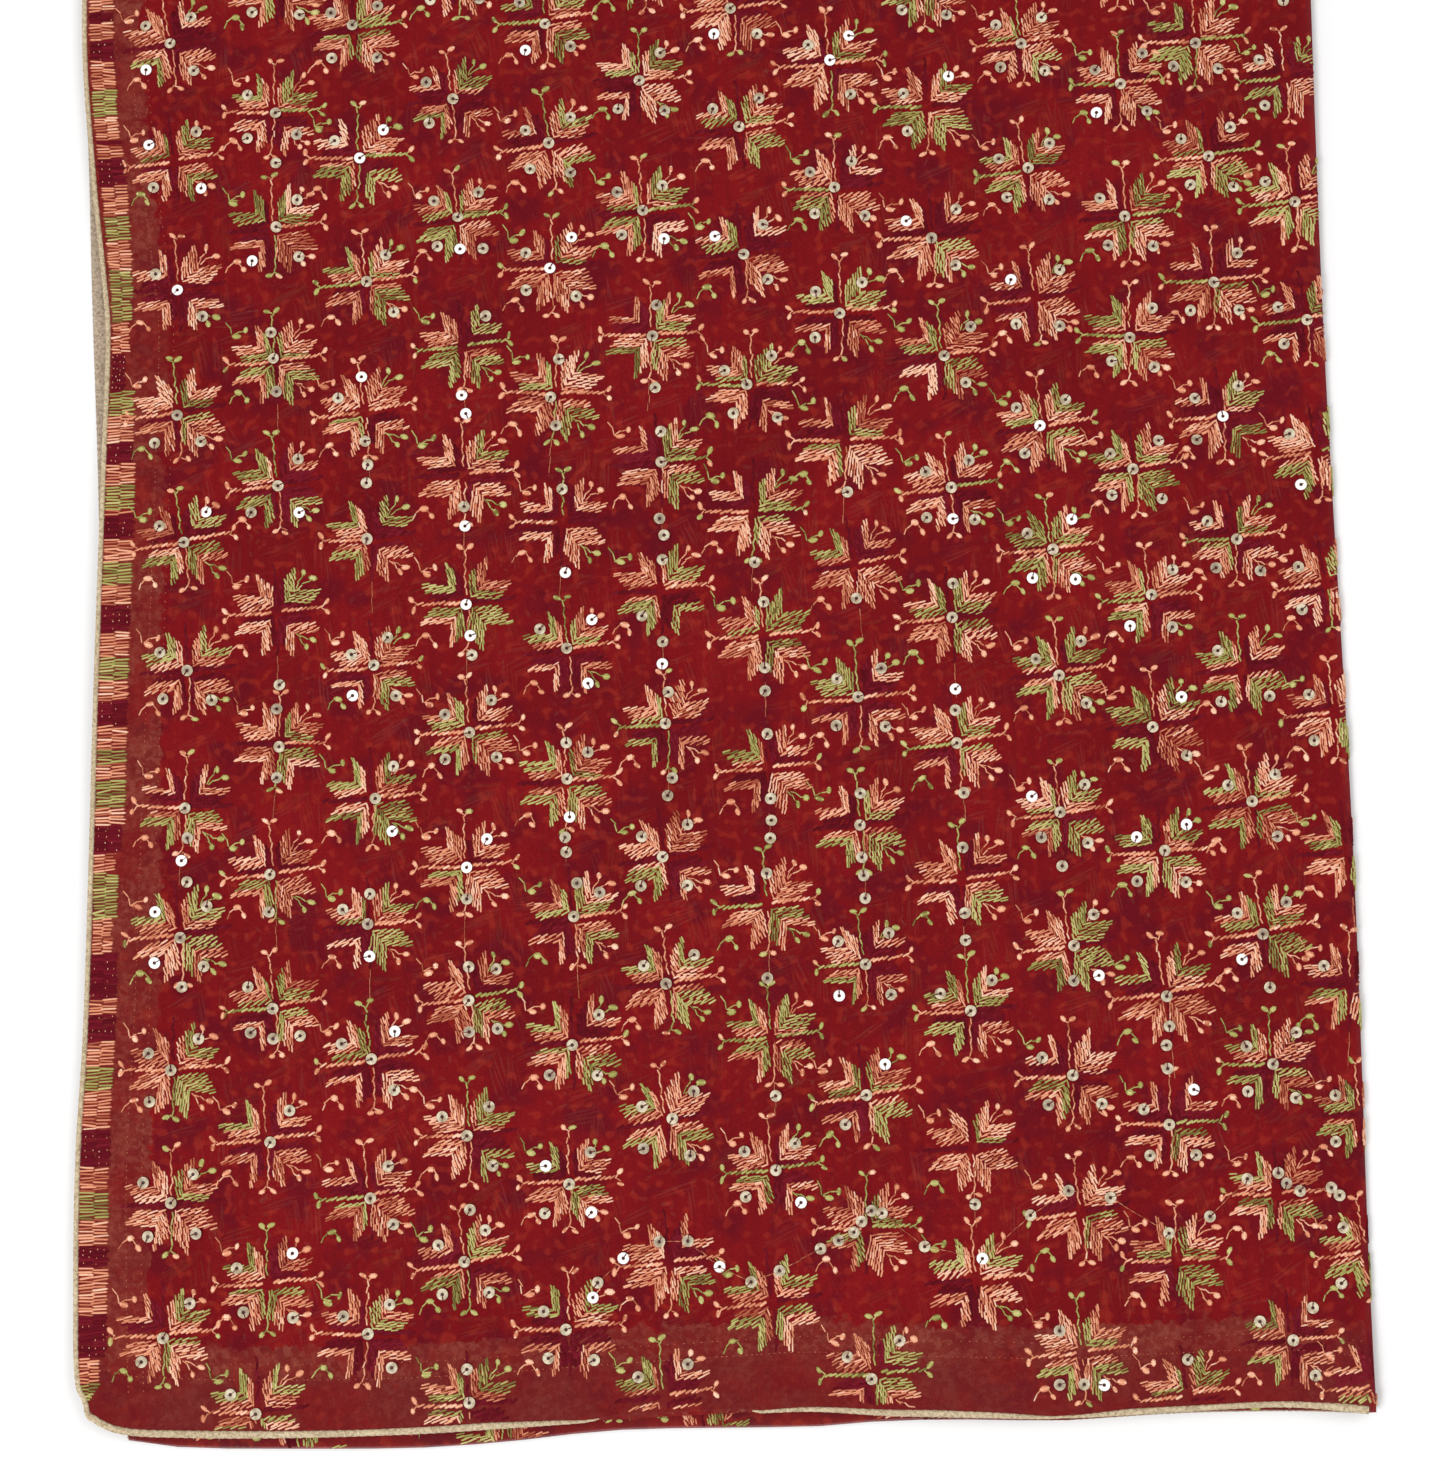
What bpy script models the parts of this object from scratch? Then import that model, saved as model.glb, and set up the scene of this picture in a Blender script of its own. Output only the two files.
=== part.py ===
# Shawl of sheer cloth, folded once along its length and laid flat
#
# X runs across the folded shawl, with the fold at +X and the open edges at -X.
# Y runs along it, with the near hem at -Y. Z is up, and the floor is z = 0.
# The cloth is one wall: a lower leaf, a round fold and an upper leaf.

import math

import bmesh
import bpy
from mathutils import Vector

MM = 0.001

# Driving sizes
LENGTH = 2300 * MM
FOLDED_WIDTH = 500 * MM
WALL = 1.2 * MM
LEAF_GAP = 0.4 * MM
SEAM_GAP = 0.3 * MM

# Facing: a strip sewn under the edges of the upper leaf
FACING_WALL = 1.0 * MM
FACING_SIDE_WIDTH = 26 * MM
FACING_END_WIDTH = 31 * MM
FACING_INSET = 1 * MM
FACING_FOLD_MARGIN = 4 * MM

# Gold tape: rolled narrow on the upper leaf, flat and wide on the lower leaf
ROLLED_WIDTH = 3.0 * MM
ROLLED_HEIGHT = 1.8 * MM
FLAT_WIDTH = 10.0 * MM
FLAT_HEIGHT = 1.0 * MM
TUCKED_WIDTH = 8.0 * MM
TUCKED_INSET = 0.5 * MM
TUCKED_SHOWING = 2.5 * MM
TUCKED_SHOWS_FROM = 90 * MM
TUCKED_SHOWS_REACH = 80 * MM
CORNER_STEPS = 4

# Fold and soft undulation
FOLD_RISE = 1.6 * MM
FOLD_RISE_REACH = 50 * MM
FOLD_WAVE = 1.8 * MM
FOLD_WAVE_LENGTH = 430 * MM
FOLD_WAVE_PHASE = 1.48
FOLD_SEGMENTS = 4
HEM_RISE_REACH = 30 * MM

LEFT = -FOLDED_WIDTH / 2
RIGHT = FOLDED_WIDTH / 2
NEAR = -LENGTH / 2
FAR = LENGTH / 2
END_REACH = 62 * MM
TUCK_LIFT = FLAT_HEIGHT + SEAM_GAP
TUCK_FLAT = 10 * MM
TUCK_RAMP = 10 * MM

# Open long edges, in millimetres: how far along from the near hem, and how far
# the outer edge of each leaf's tape lies inside the straight line x = LEFT
SIDE_ALONG, SIDE_UPPER, SIDE_LOWER = range(3)
SIDE_ROWS = (
    (0, 4.7, 10.5),
    (10, 1.4, 9.5),
    (55, 0.0, 8.0),
    (112, 0.5, 8.0),
    (160, 3.2, 9.0),
    (228, 5.3, 10.0),
    (290, 6.9, 9.6),
    (345, 8.6, 8.3),
    (390, 9.9, 7.2),
    (440, 11.2, 5.4),
    (465, 9.2, 4.6),
    (502, 5.3, 3.6),
    (565, 1.2, 1.5),
    (720, 4.0, 0.0),
    (930, 1.0, 4.5),
    (1180, 5.5, 0.8),
    (1420, 1.5, 5.0),
    (1660, 4.8, 0.6),
    (1900, 1.0, 4.0),
    (2110, 4.0, 0.5),
    (2300, 1.5, 2.5),
)

# Near hem, in millimetres: how far across from x = LEFT, and how far the outer
# edge of the upper leaf's tape and the edge of the lower leaf lie from y = NEAR
HEM_ACROSS, HEM_UPPER, HEM_LOWER = range(3)
HEM_ROWS = (
    (0, 18.0, 14.0),
    (5, 15.0, 11.0),
    (17, 8.4, 6.0),
    (40, 6.2, 2.2),
    (85, 5.2, 0.6),
    (133, 5.7, 0.0),
    (166, 7.0, 1.6),
    (207, 8.8, 5.0),
    (259, 10.4, 5.0),
    (283, 10.8, 4.8),
    (313, 8.6, 6.4),
    (352, 7.0, 6.0),
    (376, 6.2, 5.0),
    (420, 7.6, 7.2),
    (465, 8.6, 7.2),
    (500, 5.0, 5.6),
)

# Far hem, finished plainly: one long shallow wave for each leaf
FAR_WAVE_UPPER = 3.0 * MM
FAR_WAVE_LOWER = 1.6 * MM
FAR_WAVE_LENGTH = 340 * MM
FAR_UPPER_INSET = 2.0 * MM

# Soft undulation of the upper leaf: height, waves across and along, phase
RIPPLE_HEIGHT, RIPPLE_ACROSS, RIPPLE_ALONG, RIPPLE_PHASE = range(4)
RIPPLES = (
    (0.55 * MM, 310 * MM, 900 * MM, 0.4),
    (0.40 * MM, -800 * MM, 370 * MM, 1.3),
    (0.25 * MM, 190 * MM, -260 * MM, 2.6),
)

# Grid lines of the cloth, as distances from its edges
HEM_COLUMNS = tuple(value * MM for value in (0, 13, 27, 42, 57))
OPEN_COLUMNS = 10
LOWER_COLUMNS = tuple(value * MM for value in (0, 40, 180, 330))
END_ROWS = tuple(value * MM for value in (0, 10, 20, 32, 46, 62))
FINE_REACH = 600 * MM
FINE_ROWS = 18
PLAIN_ROWS = 22

CLOTH_RED = (0.26, 0.008, 0.012)
FACING_BROWN = (0.24, 0.035, 0.028)
TAPE_GOLD = (0.53, 0.42, 0.26)


def smooth_step(value):
    """0 below 0, 1 above 1, and a smooth rise between them."""
    value = min(max(value, 0.0), 1.0)
    return value * value * (3 - 2 * value)


def smooth_row(rows, key, place):
    """Reads column key of a table in millimetres on a smooth curve through its rows."""
    wanted = min(max(place / MM, rows[0][0]), rows[-1][0])
    index = 0
    while index < len(rows) - 2 and rows[index + 1][0] < wanted:
        index += 1
    before = rows[max(index - 1, 0)]
    start = rows[index]
    end = rows[index + 1]
    after = rows[min(index + 2, len(rows) - 1)]
    span = end[0] - start[0]
    part = (wanted - start[0]) / span
    slope_start = (end[key] - before[key]) / (end[0] - before[0]) * span
    slope_end = (after[key] - start[key]) / (after[0] - start[0]) * span
    square = part * part
    cube = square * part
    value = (
        (2 * cube - 3 * square + 1) * start[key]
        + (cube - 2 * square + part) * slope_start
        + (3 * square - 2 * cube) * end[key]
        + (cube - square) * slope_end
    )
    return value * MM


def upper_side(y):
    """x of the upper leaf's open edge."""
    tape = ROLLED_WIDTH + SEAM_GAP
    return LEFT + smooth_row(SIDE_ROWS, SIDE_UPPER, y - NEAR) + tape


def lower_side(y):
    """x of the lower leaf's open edge."""
    tape = FLAT_WIDTH + SEAM_GAP
    return LEFT + smooth_row(SIDE_ROWS, SIDE_LOWER, y - NEAR) + tape


def fold_side(y):
    """x of the outside of the fold."""
    turn = 2 * math.pi * (y - NEAR) / FOLD_WAVE_LENGTH + FOLD_WAVE_PHASE
    return RIGHT - FOLD_WAVE * (1 + math.sin(turn)) / 2


def upper_near(x):
    """y of the upper leaf's near edge."""
    tape = ROLLED_WIDTH + SEAM_GAP
    return NEAR + smooth_row(HEM_ROWS, HEM_UPPER, x - LEFT) + tape


def lower_near(x):
    """y of the lower leaf's near edge."""
    return NEAR + smooth_row(HEM_ROWS, HEM_LOWER, x - LEFT)


def far_wave(x, height):
    return height * (1 + math.sin(2 * math.pi * x / FAR_WAVE_LENGTH)) / 2


def upper_far(x):
    """y of the upper leaf's far edge."""
    tape = ROLLED_WIDTH + SEAM_GAP
    return FAR - FAR_UPPER_INSET - far_wave(x, FAR_WAVE_UPPER) - tape


def lower_far(x):
    """y of the lower leaf's far edge."""
    tape = FLAT_WIDTH + SEAM_GAP
    return FAR - far_wave(x, FAR_WAVE_LOWER) - tape


def ripple(x, y):
    """Soft undulation of the upper leaf, never below 0."""
    height = 0.0
    for row in RIPPLES:
        turn = x / row[RIPPLE_ACROSS] + y / row[RIPPLE_ALONG]
        height += row[RIPPLE_HEIGHT] * (1 + math.sin(2 * math.pi * turn + row[RIPPLE_PHASE]))
    return height


def tuck_lift(x, y):
    """How far the lower leaf is lifted by the tape that is tucked under its near hem."""
    inside = y - lower_near(x)
    return TUCK_LIFT * (1 - smooth_step((inside - TUCK_FLAT) / TUCK_RAMP))


def lower_height(x, y):
    """z of the middle of the lower leaf's wall."""
    return WALL / 2 + tuck_lift(x, y)


def facing_share(x, y):
    """1 over the facings, falling smoothly to 0 away from them."""
    inside = (
        x - upper_side(y) - FACING_SIDE_WIDTH,
        y - upper_near(x) - FACING_END_WIDTH,
        upper_far(x) - y - FACING_END_WIDTH,
    )
    return 1 - smooth_step(min(inside) / HEM_RISE_REACH)


def upper_height(x, y):
    """z of the middle of the upper leaf's wall."""
    flat = WALL + LEAF_GAP + WALL / 2 + TUCK_LIFT * near_share(x, y)
    hems = (FACING_WALL + LEAF_GAP) * facing_share(x, y)
    fold = FOLD_RISE * (1 - smooth_step((fold_side(y) - x) / FOLD_RISE_REACH))
    return flat + hems + fold + ripple(x, y)


def near_share(x, y):
    """1 over the lifted hem of the lower leaf, falling smoothly to 0 further in."""
    inside = y - lower_near(x)
    return 1 - smooth_step((inside - TUCK_FLAT - TUCK_RAMP) / HEM_RISE_REACH)


def leaf_y(station, x, near_edge, far_edge):
    """y at a distance from the near hem, bent to follow the edge line close by."""
    y = NEAR + station
    near_weight = max(0.0, 1 - station / END_REACH)
    far_weight = max(0.0, 1 - (LENGTH - station) / END_REACH)
    y += (near_edge(x) - NEAR) * near_weight
    y += (far_edge(x) - FAR) * far_weight
    return y


def even_steps(start, end, count):
    """Evenly spaced values after start, up to and including end."""
    return [start + (end - start) * step / count for step in range(1, count + 1)]


def row_stations():
    """Distances from the near hem to each grid line along the shawl."""
    fine = even_steps(END_ROWS[-1], FINE_REACH, FINE_ROWS)
    plain = even_steps(FINE_REACH, LENGTH - END_ROWS[-1], PLAIN_ROWS)
    far = [LENGTH - value for value in reversed(END_ROWS[:-1])]
    return list(END_ROWS) + fine + plain + far


def fold_center(y):
    """x of the fold's axis, and the radius of the middle of its wall."""
    guess = fold_side(y) - FOLD_RISE - WALL
    radius = (upper_height(guess, y) - lower_height(guess, y)) / 2
    return fold_side(y) - WALL / 2 - radius, radius


def cloth_section(station):
    """Middle of the cloth's wall at one station: lower leaf, fold, upper leaf."""
    y = NEAR + station
    center, radius = fold_center(y)
    points = []
    for column in LOWER_COLUMNS:
        x = lower_side(y) + column
        row_y = leaf_y(station, x, lower_near, lower_far)
        points.append(Vector((x, row_y, lower_height(x, row_y))))
    low_y = leaf_y(station, center, lower_near, lower_far)
    high_y = leaf_y(station, center, upper_near, upper_far)
    low_z = lower_height(center, low_y)
    high_z = upper_height(center, high_y)
    for step in range(FOLD_SEGMENTS + 1):
        turn = math.pi * step / FOLD_SEGMENTS
        share = (1 - math.cos(turn)) / 2
        points.append(
            Vector(
                (
                    center + radius * math.sin(turn),
                    low_y + (high_y - low_y) * share,
                    low_z + (high_z - low_z) * share,
                )
            )
        )
    for x in reversed(upper_columns(y)):
        row_y = leaf_y(station, x, upper_near, upper_far)
        points.append(Vector((x, row_y, upper_height(x, row_y))))
    return points


def upper_columns(y):
    """x of each grid line of the upper leaf, from its open edge towards the fold."""
    side = upper_side(y)
    start = side + HEM_COLUMNS[-1]
    center = fold_center(y)[0]
    columns = [side + value for value in HEM_COLUMNS]
    for step in range(1, OPEN_COLUMNS):
        columns.append(start + (center - start) * step / OPEN_COLUMNS)
    return columns


def end_columns(y, margin):
    """The upper leaf's grid lines, and one more at a margin before the fold begins."""
    return upper_columns(y) + [fold_center(y)[0] - margin]


def grid_object(name, rows, thickness, material):
    """Makes a wall from rows of points on its middle surface."""
    across = len(rows[0]) - 1
    along = len(rows) - 1
    grid = bmesh.new()
    bmesh.ops.create_grid(grid, x_segments=across, y_segments=along, size=1)
    for vertex in grid.verts:
        column = round((vertex.co.x + 1) / 2 * across)
        row = round((vertex.co.y + 1) / 2 * along)
        vertex.co = rows[row][column]
    mesh = bpy.data.meshes.new(name)
    grid.to_mesh(mesh)
    grid.free()
    made = bpy.data.objects.new(name, mesh)
    parts.objects.link(made)
    mesh.materials.append(material)
    mesh.shade_smooth()
    wall = made.modifiers.new("Wall", "SOLIDIFY")
    wall.thickness = thickness
    wall.offset = 0
    wall.use_even_offset = True
    return made


def offset_route(points, distance):
    """Moves a route sideways in plan, to the left of its direction for a positive distance."""
    moved = []
    for index, point in enumerate(points):
        before = points[max(index - 1, 0)]
        after = points[min(index + 1, len(points) - 1)]
        way = (after - before).xy.normalized()
        moved.append(point + distance * Vector((-way.y, way.x, 0)))
    return moved


def tape_object(name, points, width, height, material):
    """Makes a flat tape with round edges along a route of points."""
    curve = bpy.data.curves.new(name, "CURVE")
    curve.dimensions = "3D"
    curve.twist_mode = "Z_UP"
    curve.bevel_depth = height / 2
    curve.extrude = (width - height) / 2
    curve.bevel_resolution = 1
    curve.use_fill_caps = True
    spline = curve.splines.new("POLY")
    spline.points.add(len(points) - 1)
    for spot, point in zip(spline.points, points):
        spot.co = (*point, 1)
        spot.tilt = math.pi / 2
    made = bpy.data.objects.new(name, curve)
    parts.objects.link(made)
    curve.materials.append(material)
    return made


def surface_material(name, color, roughness, metallic=0.0):
    material = bpy.data.materials.new(name)
    material.use_nodes = True
    shader = material.node_tree.nodes["Principled BSDF"]
    shader.inputs["Base Color"].default_value = (*color, 1)
    shader.inputs["Roughness"].default_value = roughness
    shader.inputs["Metallic"].default_value = metallic
    return material


def make_cloth():
    rows = [cloth_section(station) for station in row_stations()]
    grid_object("cloth_folded", rows, WALL, surface_material("cloth_red", CLOTH_RED, 0.6))


def facing_point(x, y):
    drop = WALL / 2 + LEAF_GAP + FACING_WALL / 2
    return Vector((x, y, upper_height(x, y) - drop))


def make_facing_side(material):
    rows = []
    for station in row_stations():
        y = NEAR + station
        if not END_ROWS[-2] <= station <= LENGTH - END_ROWS[-2]:
            continue
        columns = [upper_side(y) + value for value in (FACING_INSET, HEM_COLUMNS[1], FACING_SIDE_WIDTH)]
        rows.append([facing_point(x, leaf_y(station, x, upper_near, upper_far)) for x in columns])
    grid_object("facing_side", rows, FACING_WALL, material)


def make_facing_end(name, end, edge, inward, material):
    """A strip under one end hem, from the open edge to just before the fold."""
    rows = []
    for inset in (FACING_INSET, 10 * MM, 20 * MM, FACING_END_WIDTH):
        columns = end_columns(end + inward * inset, FACING_FOLD_MARGIN)
        columns[0] += FACING_INSET
        rows.append([facing_point(x, edge(x) + inward * inset) for x in columns])
    grid_object(name, rows, FACING_WALL, material)


def make_facings():
    material = surface_material("facing_brown", FACING_BROWN, 0.7)
    make_facing_side(material)
    make_facing_end("facing_near_end", NEAR, upper_near, 1, material)
    make_facing_end("facing_far_end", FAR, upper_far, -1, material)


def upper_edge_side():
    """The upper leaf's open edge, from the near hem to the far hem."""
    route = []
    for station in row_stations():
        x = upper_side(NEAR + station)
        y = leaf_y(station, x, upper_near, upper_far)
        route.append(Vector((x, y, upper_height(x, y))))
    return route


def upper_edge_end(end, edge):
    """The upper leaf's edge at one end, from the open edge to the fold."""
    return [Vector((x, edge(x), upper_height(x, edge(x)))) for x in end_columns(end, 0)]


def round_corner(corner, start, end):
    """Points between start and end on the arc about a corner."""
    reach = (start - corner).xy.length
    start_turn = math.atan2(start.y - corner.y, start.x - corner.x)
    end_turn = math.atan2(end.y - corner.y, end.x - corner.x)
    sweep = math.remainder(end_turn - start_turn, 2 * math.pi)
    points = []
    for step in range(1, CORNER_STEPS):
        turn = start_turn + sweep * step / CORNER_STEPS
        points.append(corner + reach * Vector((math.cos(turn), math.sin(turn), 0)))
    return points


def make_tape_upper(material):
    """One length of rolled tape round the upper leaf: near hem, open edge, far hem."""
    reach = SEAM_GAP + ROLLED_WIDTH / 2
    near_edge = upper_edge_end(NEAR, upper_near)[::-1]
    side_edge = upper_edge_side()
    near = offset_route(near_edge, reach)
    side = offset_route(side_edge, reach)
    far = offset_route(upper_edge_end(FAR, upper_far), reach)
    route = near + round_corner(side_edge[0], near[-1], side[0])
    route += side + round_corner(side_edge[-1], side[-1], far[0]) + far
    tape_object("tape_upper", route, ROLLED_WIDTH, ROLLED_HEIGHT, material)


def make_tape_lower_side(material):
    """Flat tape beside the lower leaf's open edge, from above the tucked hem."""
    edge = []
    for station in row_stations():
        if station >= TUCK_FLAT + TUCK_RAMP:
            edge.append(Vector((lower_side(NEAR + station), NEAR + station, FLAT_HEIGHT / 2)))
    route = offset_route(edge, SEAM_GAP + FLAT_WIDTH / 2)
    tape_object("tape_lower_side", route, FLAT_WIDTH, FLAT_HEIGHT, material)


def lower_columns(station):
    """x of points along one end of the lower leaf, from its open edge to the fold."""
    y = NEAR + station
    start = lower_side(y)
    return [start] + even_steps(start, fold_center(y)[0], OPEN_COLUMNS)


def make_tape_lower_near_end(material):
    """Tape tucked under the lower leaf's near hem, which it leaves near the fold."""
    route = []
    for x in lower_columns(0):
        shown = smooth_step((x - TUCKED_SHOWS_FROM) / TUCKED_SHOWS_REACH)
        inset = TUCKED_INSET - (TUCKED_INSET + TUCKED_SHOWING) * shown
        route.append(Vector((x, lower_near(x) + inset + TUCKED_WIDTH / 2, FLAT_HEIGHT / 2)))
    tape_object("tape_lower_near_end", route, TUCKED_WIDTH, FLAT_HEIGHT, material)


def make_tape_lower_far_end(material):
    edge = [Vector((x, lower_far(x), FLAT_HEIGHT / 2)) for x in lower_columns(LENGTH)]
    route = offset_route(edge, SEAM_GAP + FLAT_WIDTH / 2)
    tape_object("tape_lower_far_end", route, FLAT_WIDTH, FLAT_HEIGHT, material)


def make_tapes():
    material = surface_material("tape_gold", TAPE_GOLD, 0.45, 0.3)
    make_tape_upper(material)
    make_tape_lower_side(material)
    make_tape_lower_near_end(material)
    make_tape_lower_far_end(material)


for old in list(bpy.data.objects):
    bpy.data.objects.remove(old, do_unlink=True)
parts = bpy.data.collections.new("phulkari_shawl")
bpy.context.scene.collection.children.link(parts)
make_cloth()
make_facings()
make_tapes()
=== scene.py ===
# Phulkari shawl, folded once along its length and laid flat
#
# X runs across the folded shawl, with the fold at +X and the open edges at -X.
# Y runs along it, with the near hem at -Y. Z is up, and the floor is z = 0.

import math

import bpy
import numpy as np
from mathutils import Euler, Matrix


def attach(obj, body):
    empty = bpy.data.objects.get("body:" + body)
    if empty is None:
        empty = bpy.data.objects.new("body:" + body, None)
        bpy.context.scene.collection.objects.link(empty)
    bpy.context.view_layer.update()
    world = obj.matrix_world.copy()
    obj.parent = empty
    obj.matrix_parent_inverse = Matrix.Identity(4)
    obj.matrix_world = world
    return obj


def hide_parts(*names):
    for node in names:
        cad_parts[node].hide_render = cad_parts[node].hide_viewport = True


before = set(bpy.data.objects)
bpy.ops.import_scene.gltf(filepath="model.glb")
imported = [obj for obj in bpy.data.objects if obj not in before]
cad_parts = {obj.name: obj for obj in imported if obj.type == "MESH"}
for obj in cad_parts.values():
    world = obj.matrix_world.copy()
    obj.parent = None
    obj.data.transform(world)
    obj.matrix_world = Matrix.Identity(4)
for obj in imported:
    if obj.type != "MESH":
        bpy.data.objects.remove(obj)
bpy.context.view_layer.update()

MM = 0.001

# Sizes of the solids, as in the part's source
LENGTH = 2300 * MM
FOLDED_WIDTH = 500 * MM
WALL = 1.2 * MM
LEAF_GAP = 0.4 * MM
SEAM_GAP = 0.3 * MM
FACING_WALL = 1.0 * MM
FACING_SIDE_WIDTH = 26 * MM
FACING_END_WIDTH = 31 * MM
FACING_FOLD_MARGIN = 4 * MM
ROLLED_WIDTH = 3.0 * MM
ROLLED_HEIGHT = 1.8 * MM
FLAT_WIDTH = 10.0 * MM
FLAT_HEIGHT = 1.0 * MM
TUCKED_WIDTH = 8.0 * MM
TUCKED_INSET = 0.5 * MM
TUCKED_SHOWS_FROM = 90 * MM
TUCKED_SHOWS_REACH = 80 * MM
FOLD_RISE = 1.6 * MM
FOLD_RISE_REACH = 50 * MM
FOLD_WAVE = 1.8 * MM
FOLD_WAVE_LENGTH = 430 * MM
FOLD_WAVE_PHASE = 1.48
HEM_RISE_REACH = 30 * MM
LEFT = -FOLDED_WIDTH / 2
RIGHT = FOLDED_WIDTH / 2
NEAR = -LENGTH / 2
FAR = LENGTH / 2
END_REACH = 62 * MM
TUCK_LIFT = FLAT_HEIGHT + SEAM_GAP
TUCK_FLAT = 10 * MM
TUCK_RAMP = 10 * MM

# Open long edges, in millimetres: how far along from the near hem, and how far
# the outer edge of each leaf's tape lies inside the straight line x = LEFT
SIDE_ALONG, SIDE_UPPER, SIDE_LOWER = range(3)
SIDE_ROWS = (
    (0, 4.7, 10.5),
    (10, 1.4, 9.5),
    (55, 0.0, 8.0),
    (112, 0.5, 8.0),
    (160, 3.2, 9.0),
    (228, 5.3, 10.0),
    (290, 6.9, 9.6),
    (345, 8.6, 8.3),
    (390, 9.9, 7.2),
    (440, 11.2, 5.4),
    (465, 9.2, 4.6),
    (502, 5.3, 3.6),
    (565, 1.2, 1.5),
    (720, 4.0, 0.0),
    (930, 1.0, 4.5),
    (1180, 5.5, 0.8),
    (1420, 1.5, 5.0),
    (1660, 4.8, 0.6),
    (1900, 1.0, 4.0),
    (2110, 4.0, 0.5),
    (2300, 1.5, 2.5),
)

# Near hem, in millimetres: how far across from x = LEFT, and how far the outer
# edge of the upper leaf's tape and the edge of the lower leaf lie from y = NEAR
HEM_ACROSS, HEM_UPPER, HEM_LOWER = range(3)
HEM_ROWS = (
    (0, 18.0, 14.0),
    (5, 15.0, 11.0),
    (17, 8.4, 6.0),
    (40, 6.2, 2.2),
    (85, 5.2, 0.6),
    (133, 5.7, 0.0),
    (166, 7.0, 1.6),
    (207, 8.8, 5.0),
    (259, 10.4, 5.0),
    (283, 10.8, 4.8),
    (313, 8.6, 6.4),
    (352, 7.0, 6.0),
    (376, 6.2, 5.0),
    (420, 7.6, 7.2),
    (465, 8.6, 7.2),
    (500, 5.0, 5.6),
)

# Far hem: one long shallow wave for each leaf
FAR_WAVE_UPPER = 3.0 * MM
FAR_WAVE_LOWER = 1.6 * MM
FAR_WAVE_LENGTH = 340 * MM
FAR_UPPER_INSET = 2.0 * MM

# Soft undulation of the upper leaf: height, waves across and along, phase
RIPPLE_HEIGHT, RIPPLE_ACROSS, RIPPLE_ALONG, RIPPLE_PHASE = range(4)
RIPPLES = (
    (0.55 * MM, 310 * MM, 900 * MM, 0.4),
    (0.40 * MM, -800 * MM, 370 * MM, 1.3),
    (0.25 * MM, 190 * MM, -260 * MM, 2.6),
)

# Creases of the upper leaf, in millimetres from its lower left corner: where the
# middle is, direction in degrees, half length, half width, height
CREASE_ACROSS, CREASE_ALONG, CREASE_TURN, CREASE_REACH, CREASE_WIDTH, CREASE_HEIGHT = range(6)
CREASES = (
    (262, 12, 96, 26, 3.5, 0.9),
    (232, 26, 62, 34, 6.0, 0.6),
    (60, 40, 35, 45, 7.0, 0.6),
    (120, 62, 12, 70, 8.0, 0.45),
    (410, 48, 168, 60, 7.0, 0.5),
    (330, 110, 150, 90, 10.0, 0.4),
    (38, 330, 84, 110, 6.0, 0.7),
    (33, 190, 92, 70, 5.0, 0.5),
    (180, 420, 75, 130, 12.0, 0.4),
    (455, 260, 88, 150, 9.0, 0.45),
    (300, 520, 110, 120, 12.0, 0.4),
)

# The upper leaf's tape as it shows: it covers the cloth's edge, and is narrower than
# its solid, with the same outer edge
EDGE_REACH = 2.7 * MM
SIDE_TAPE_WIDTH = 2.0 * MM
# How far the lower leaf's tape reaches past its near edge, as it shows
TUCKED_PAST_EDGE = 0.6 * MM
# How deep the strands press into the edges of a tape
STRAND_DEPTH = 0.2 * MM
# Form of the two tapes: the power of the section's curve, where 1 is an ellipse and
# less is squarer, the length of a strand, and the steps along the tape near and far
ROLLED_POWER = 0.8
ROLLED_STRAND = 3.4 * MM
ROLLED_STEPS = (0.9 * MM, 4 * MM)
FLAT_POWER = 0.45
FLAT_STRAND = 2.6 * MM
FLAT_STEPS = (1.2 * MM, 6 * MM)

# Tape of the near hem as it shows, in millimetres: how far across, and its width,
# which is 0 where it is turned under the cloth
HEM_TAPE_ACROSS, HEM_TAPE_WIDTH = range(2)
HEM_TAPE_ROWS = (
    (0, 2.6),
    (60, 2.9),
    (110, 2.5),
    (160, 2.7),
    (186, 1.7),
    (205, 0.5),
    (216, 0.0),
    (254, 0.0),
    (264, 1.2),
    (290, 2.0),
    (330, 2.8),
    (360, 2.0),
    (378, 0.9),
    (404, 2.4),
    (443, 2.2),
    (475, 2.4),
    (486, 3.1),
    (500, 3.0),
)
HEM_TAPE_LEAST = 0.3 * MM
# Below this width it is turned under, where it lies lower and further in by these
HEM_TAPE_NARROW = 1.2 * MM
HEM_TAPE_DROP = 1.2 * MM
HEM_TAPE_DRAWN_IN = 2.4 * MM

# The lower left corner is turned in along a straight line between these two points,
# across and along from x = LEFT, y = NEAR
CORNER_START = (0.2 * MM, 24.5 * MM)
CORNER_END = (4.6 * MM, 15.2 * MM)
CORNER_SIZE = math.dist(CORNER_START, CORNER_END)
CORNER_INWARD_X = (CORNER_START[1] - CORNER_END[1]) / CORNER_SIZE
CORNER_INWARD_Y = (CORNER_END[0] - CORNER_START[0]) / CORNER_SIZE
# How far the cloth's corner and the tape's rounder one lie outside that line, and how
# far inside it the cloth is drawn
CORNER_DEPTH = 2.4 * MM
CORNER_TAPE_DEPTH = 1.1 * MM
CORNER_REACH = 12 * MM
# How far inside the cloth's edge the points at its corner come to lie
CORNER_CLOTH_MARGIN = 0.8 * MM

# The facings as they show: they reach under the tape, and the side one narrows along
# the shawl by this much, over a length that starts and ends here
FACING_OUTSET = 1.5 * MM
FACING_NARROWS = 4.5 * MM
FACING_NARROWS_START = 150 * MM
FACING_NARROWS_END = 400 * MM
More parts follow.
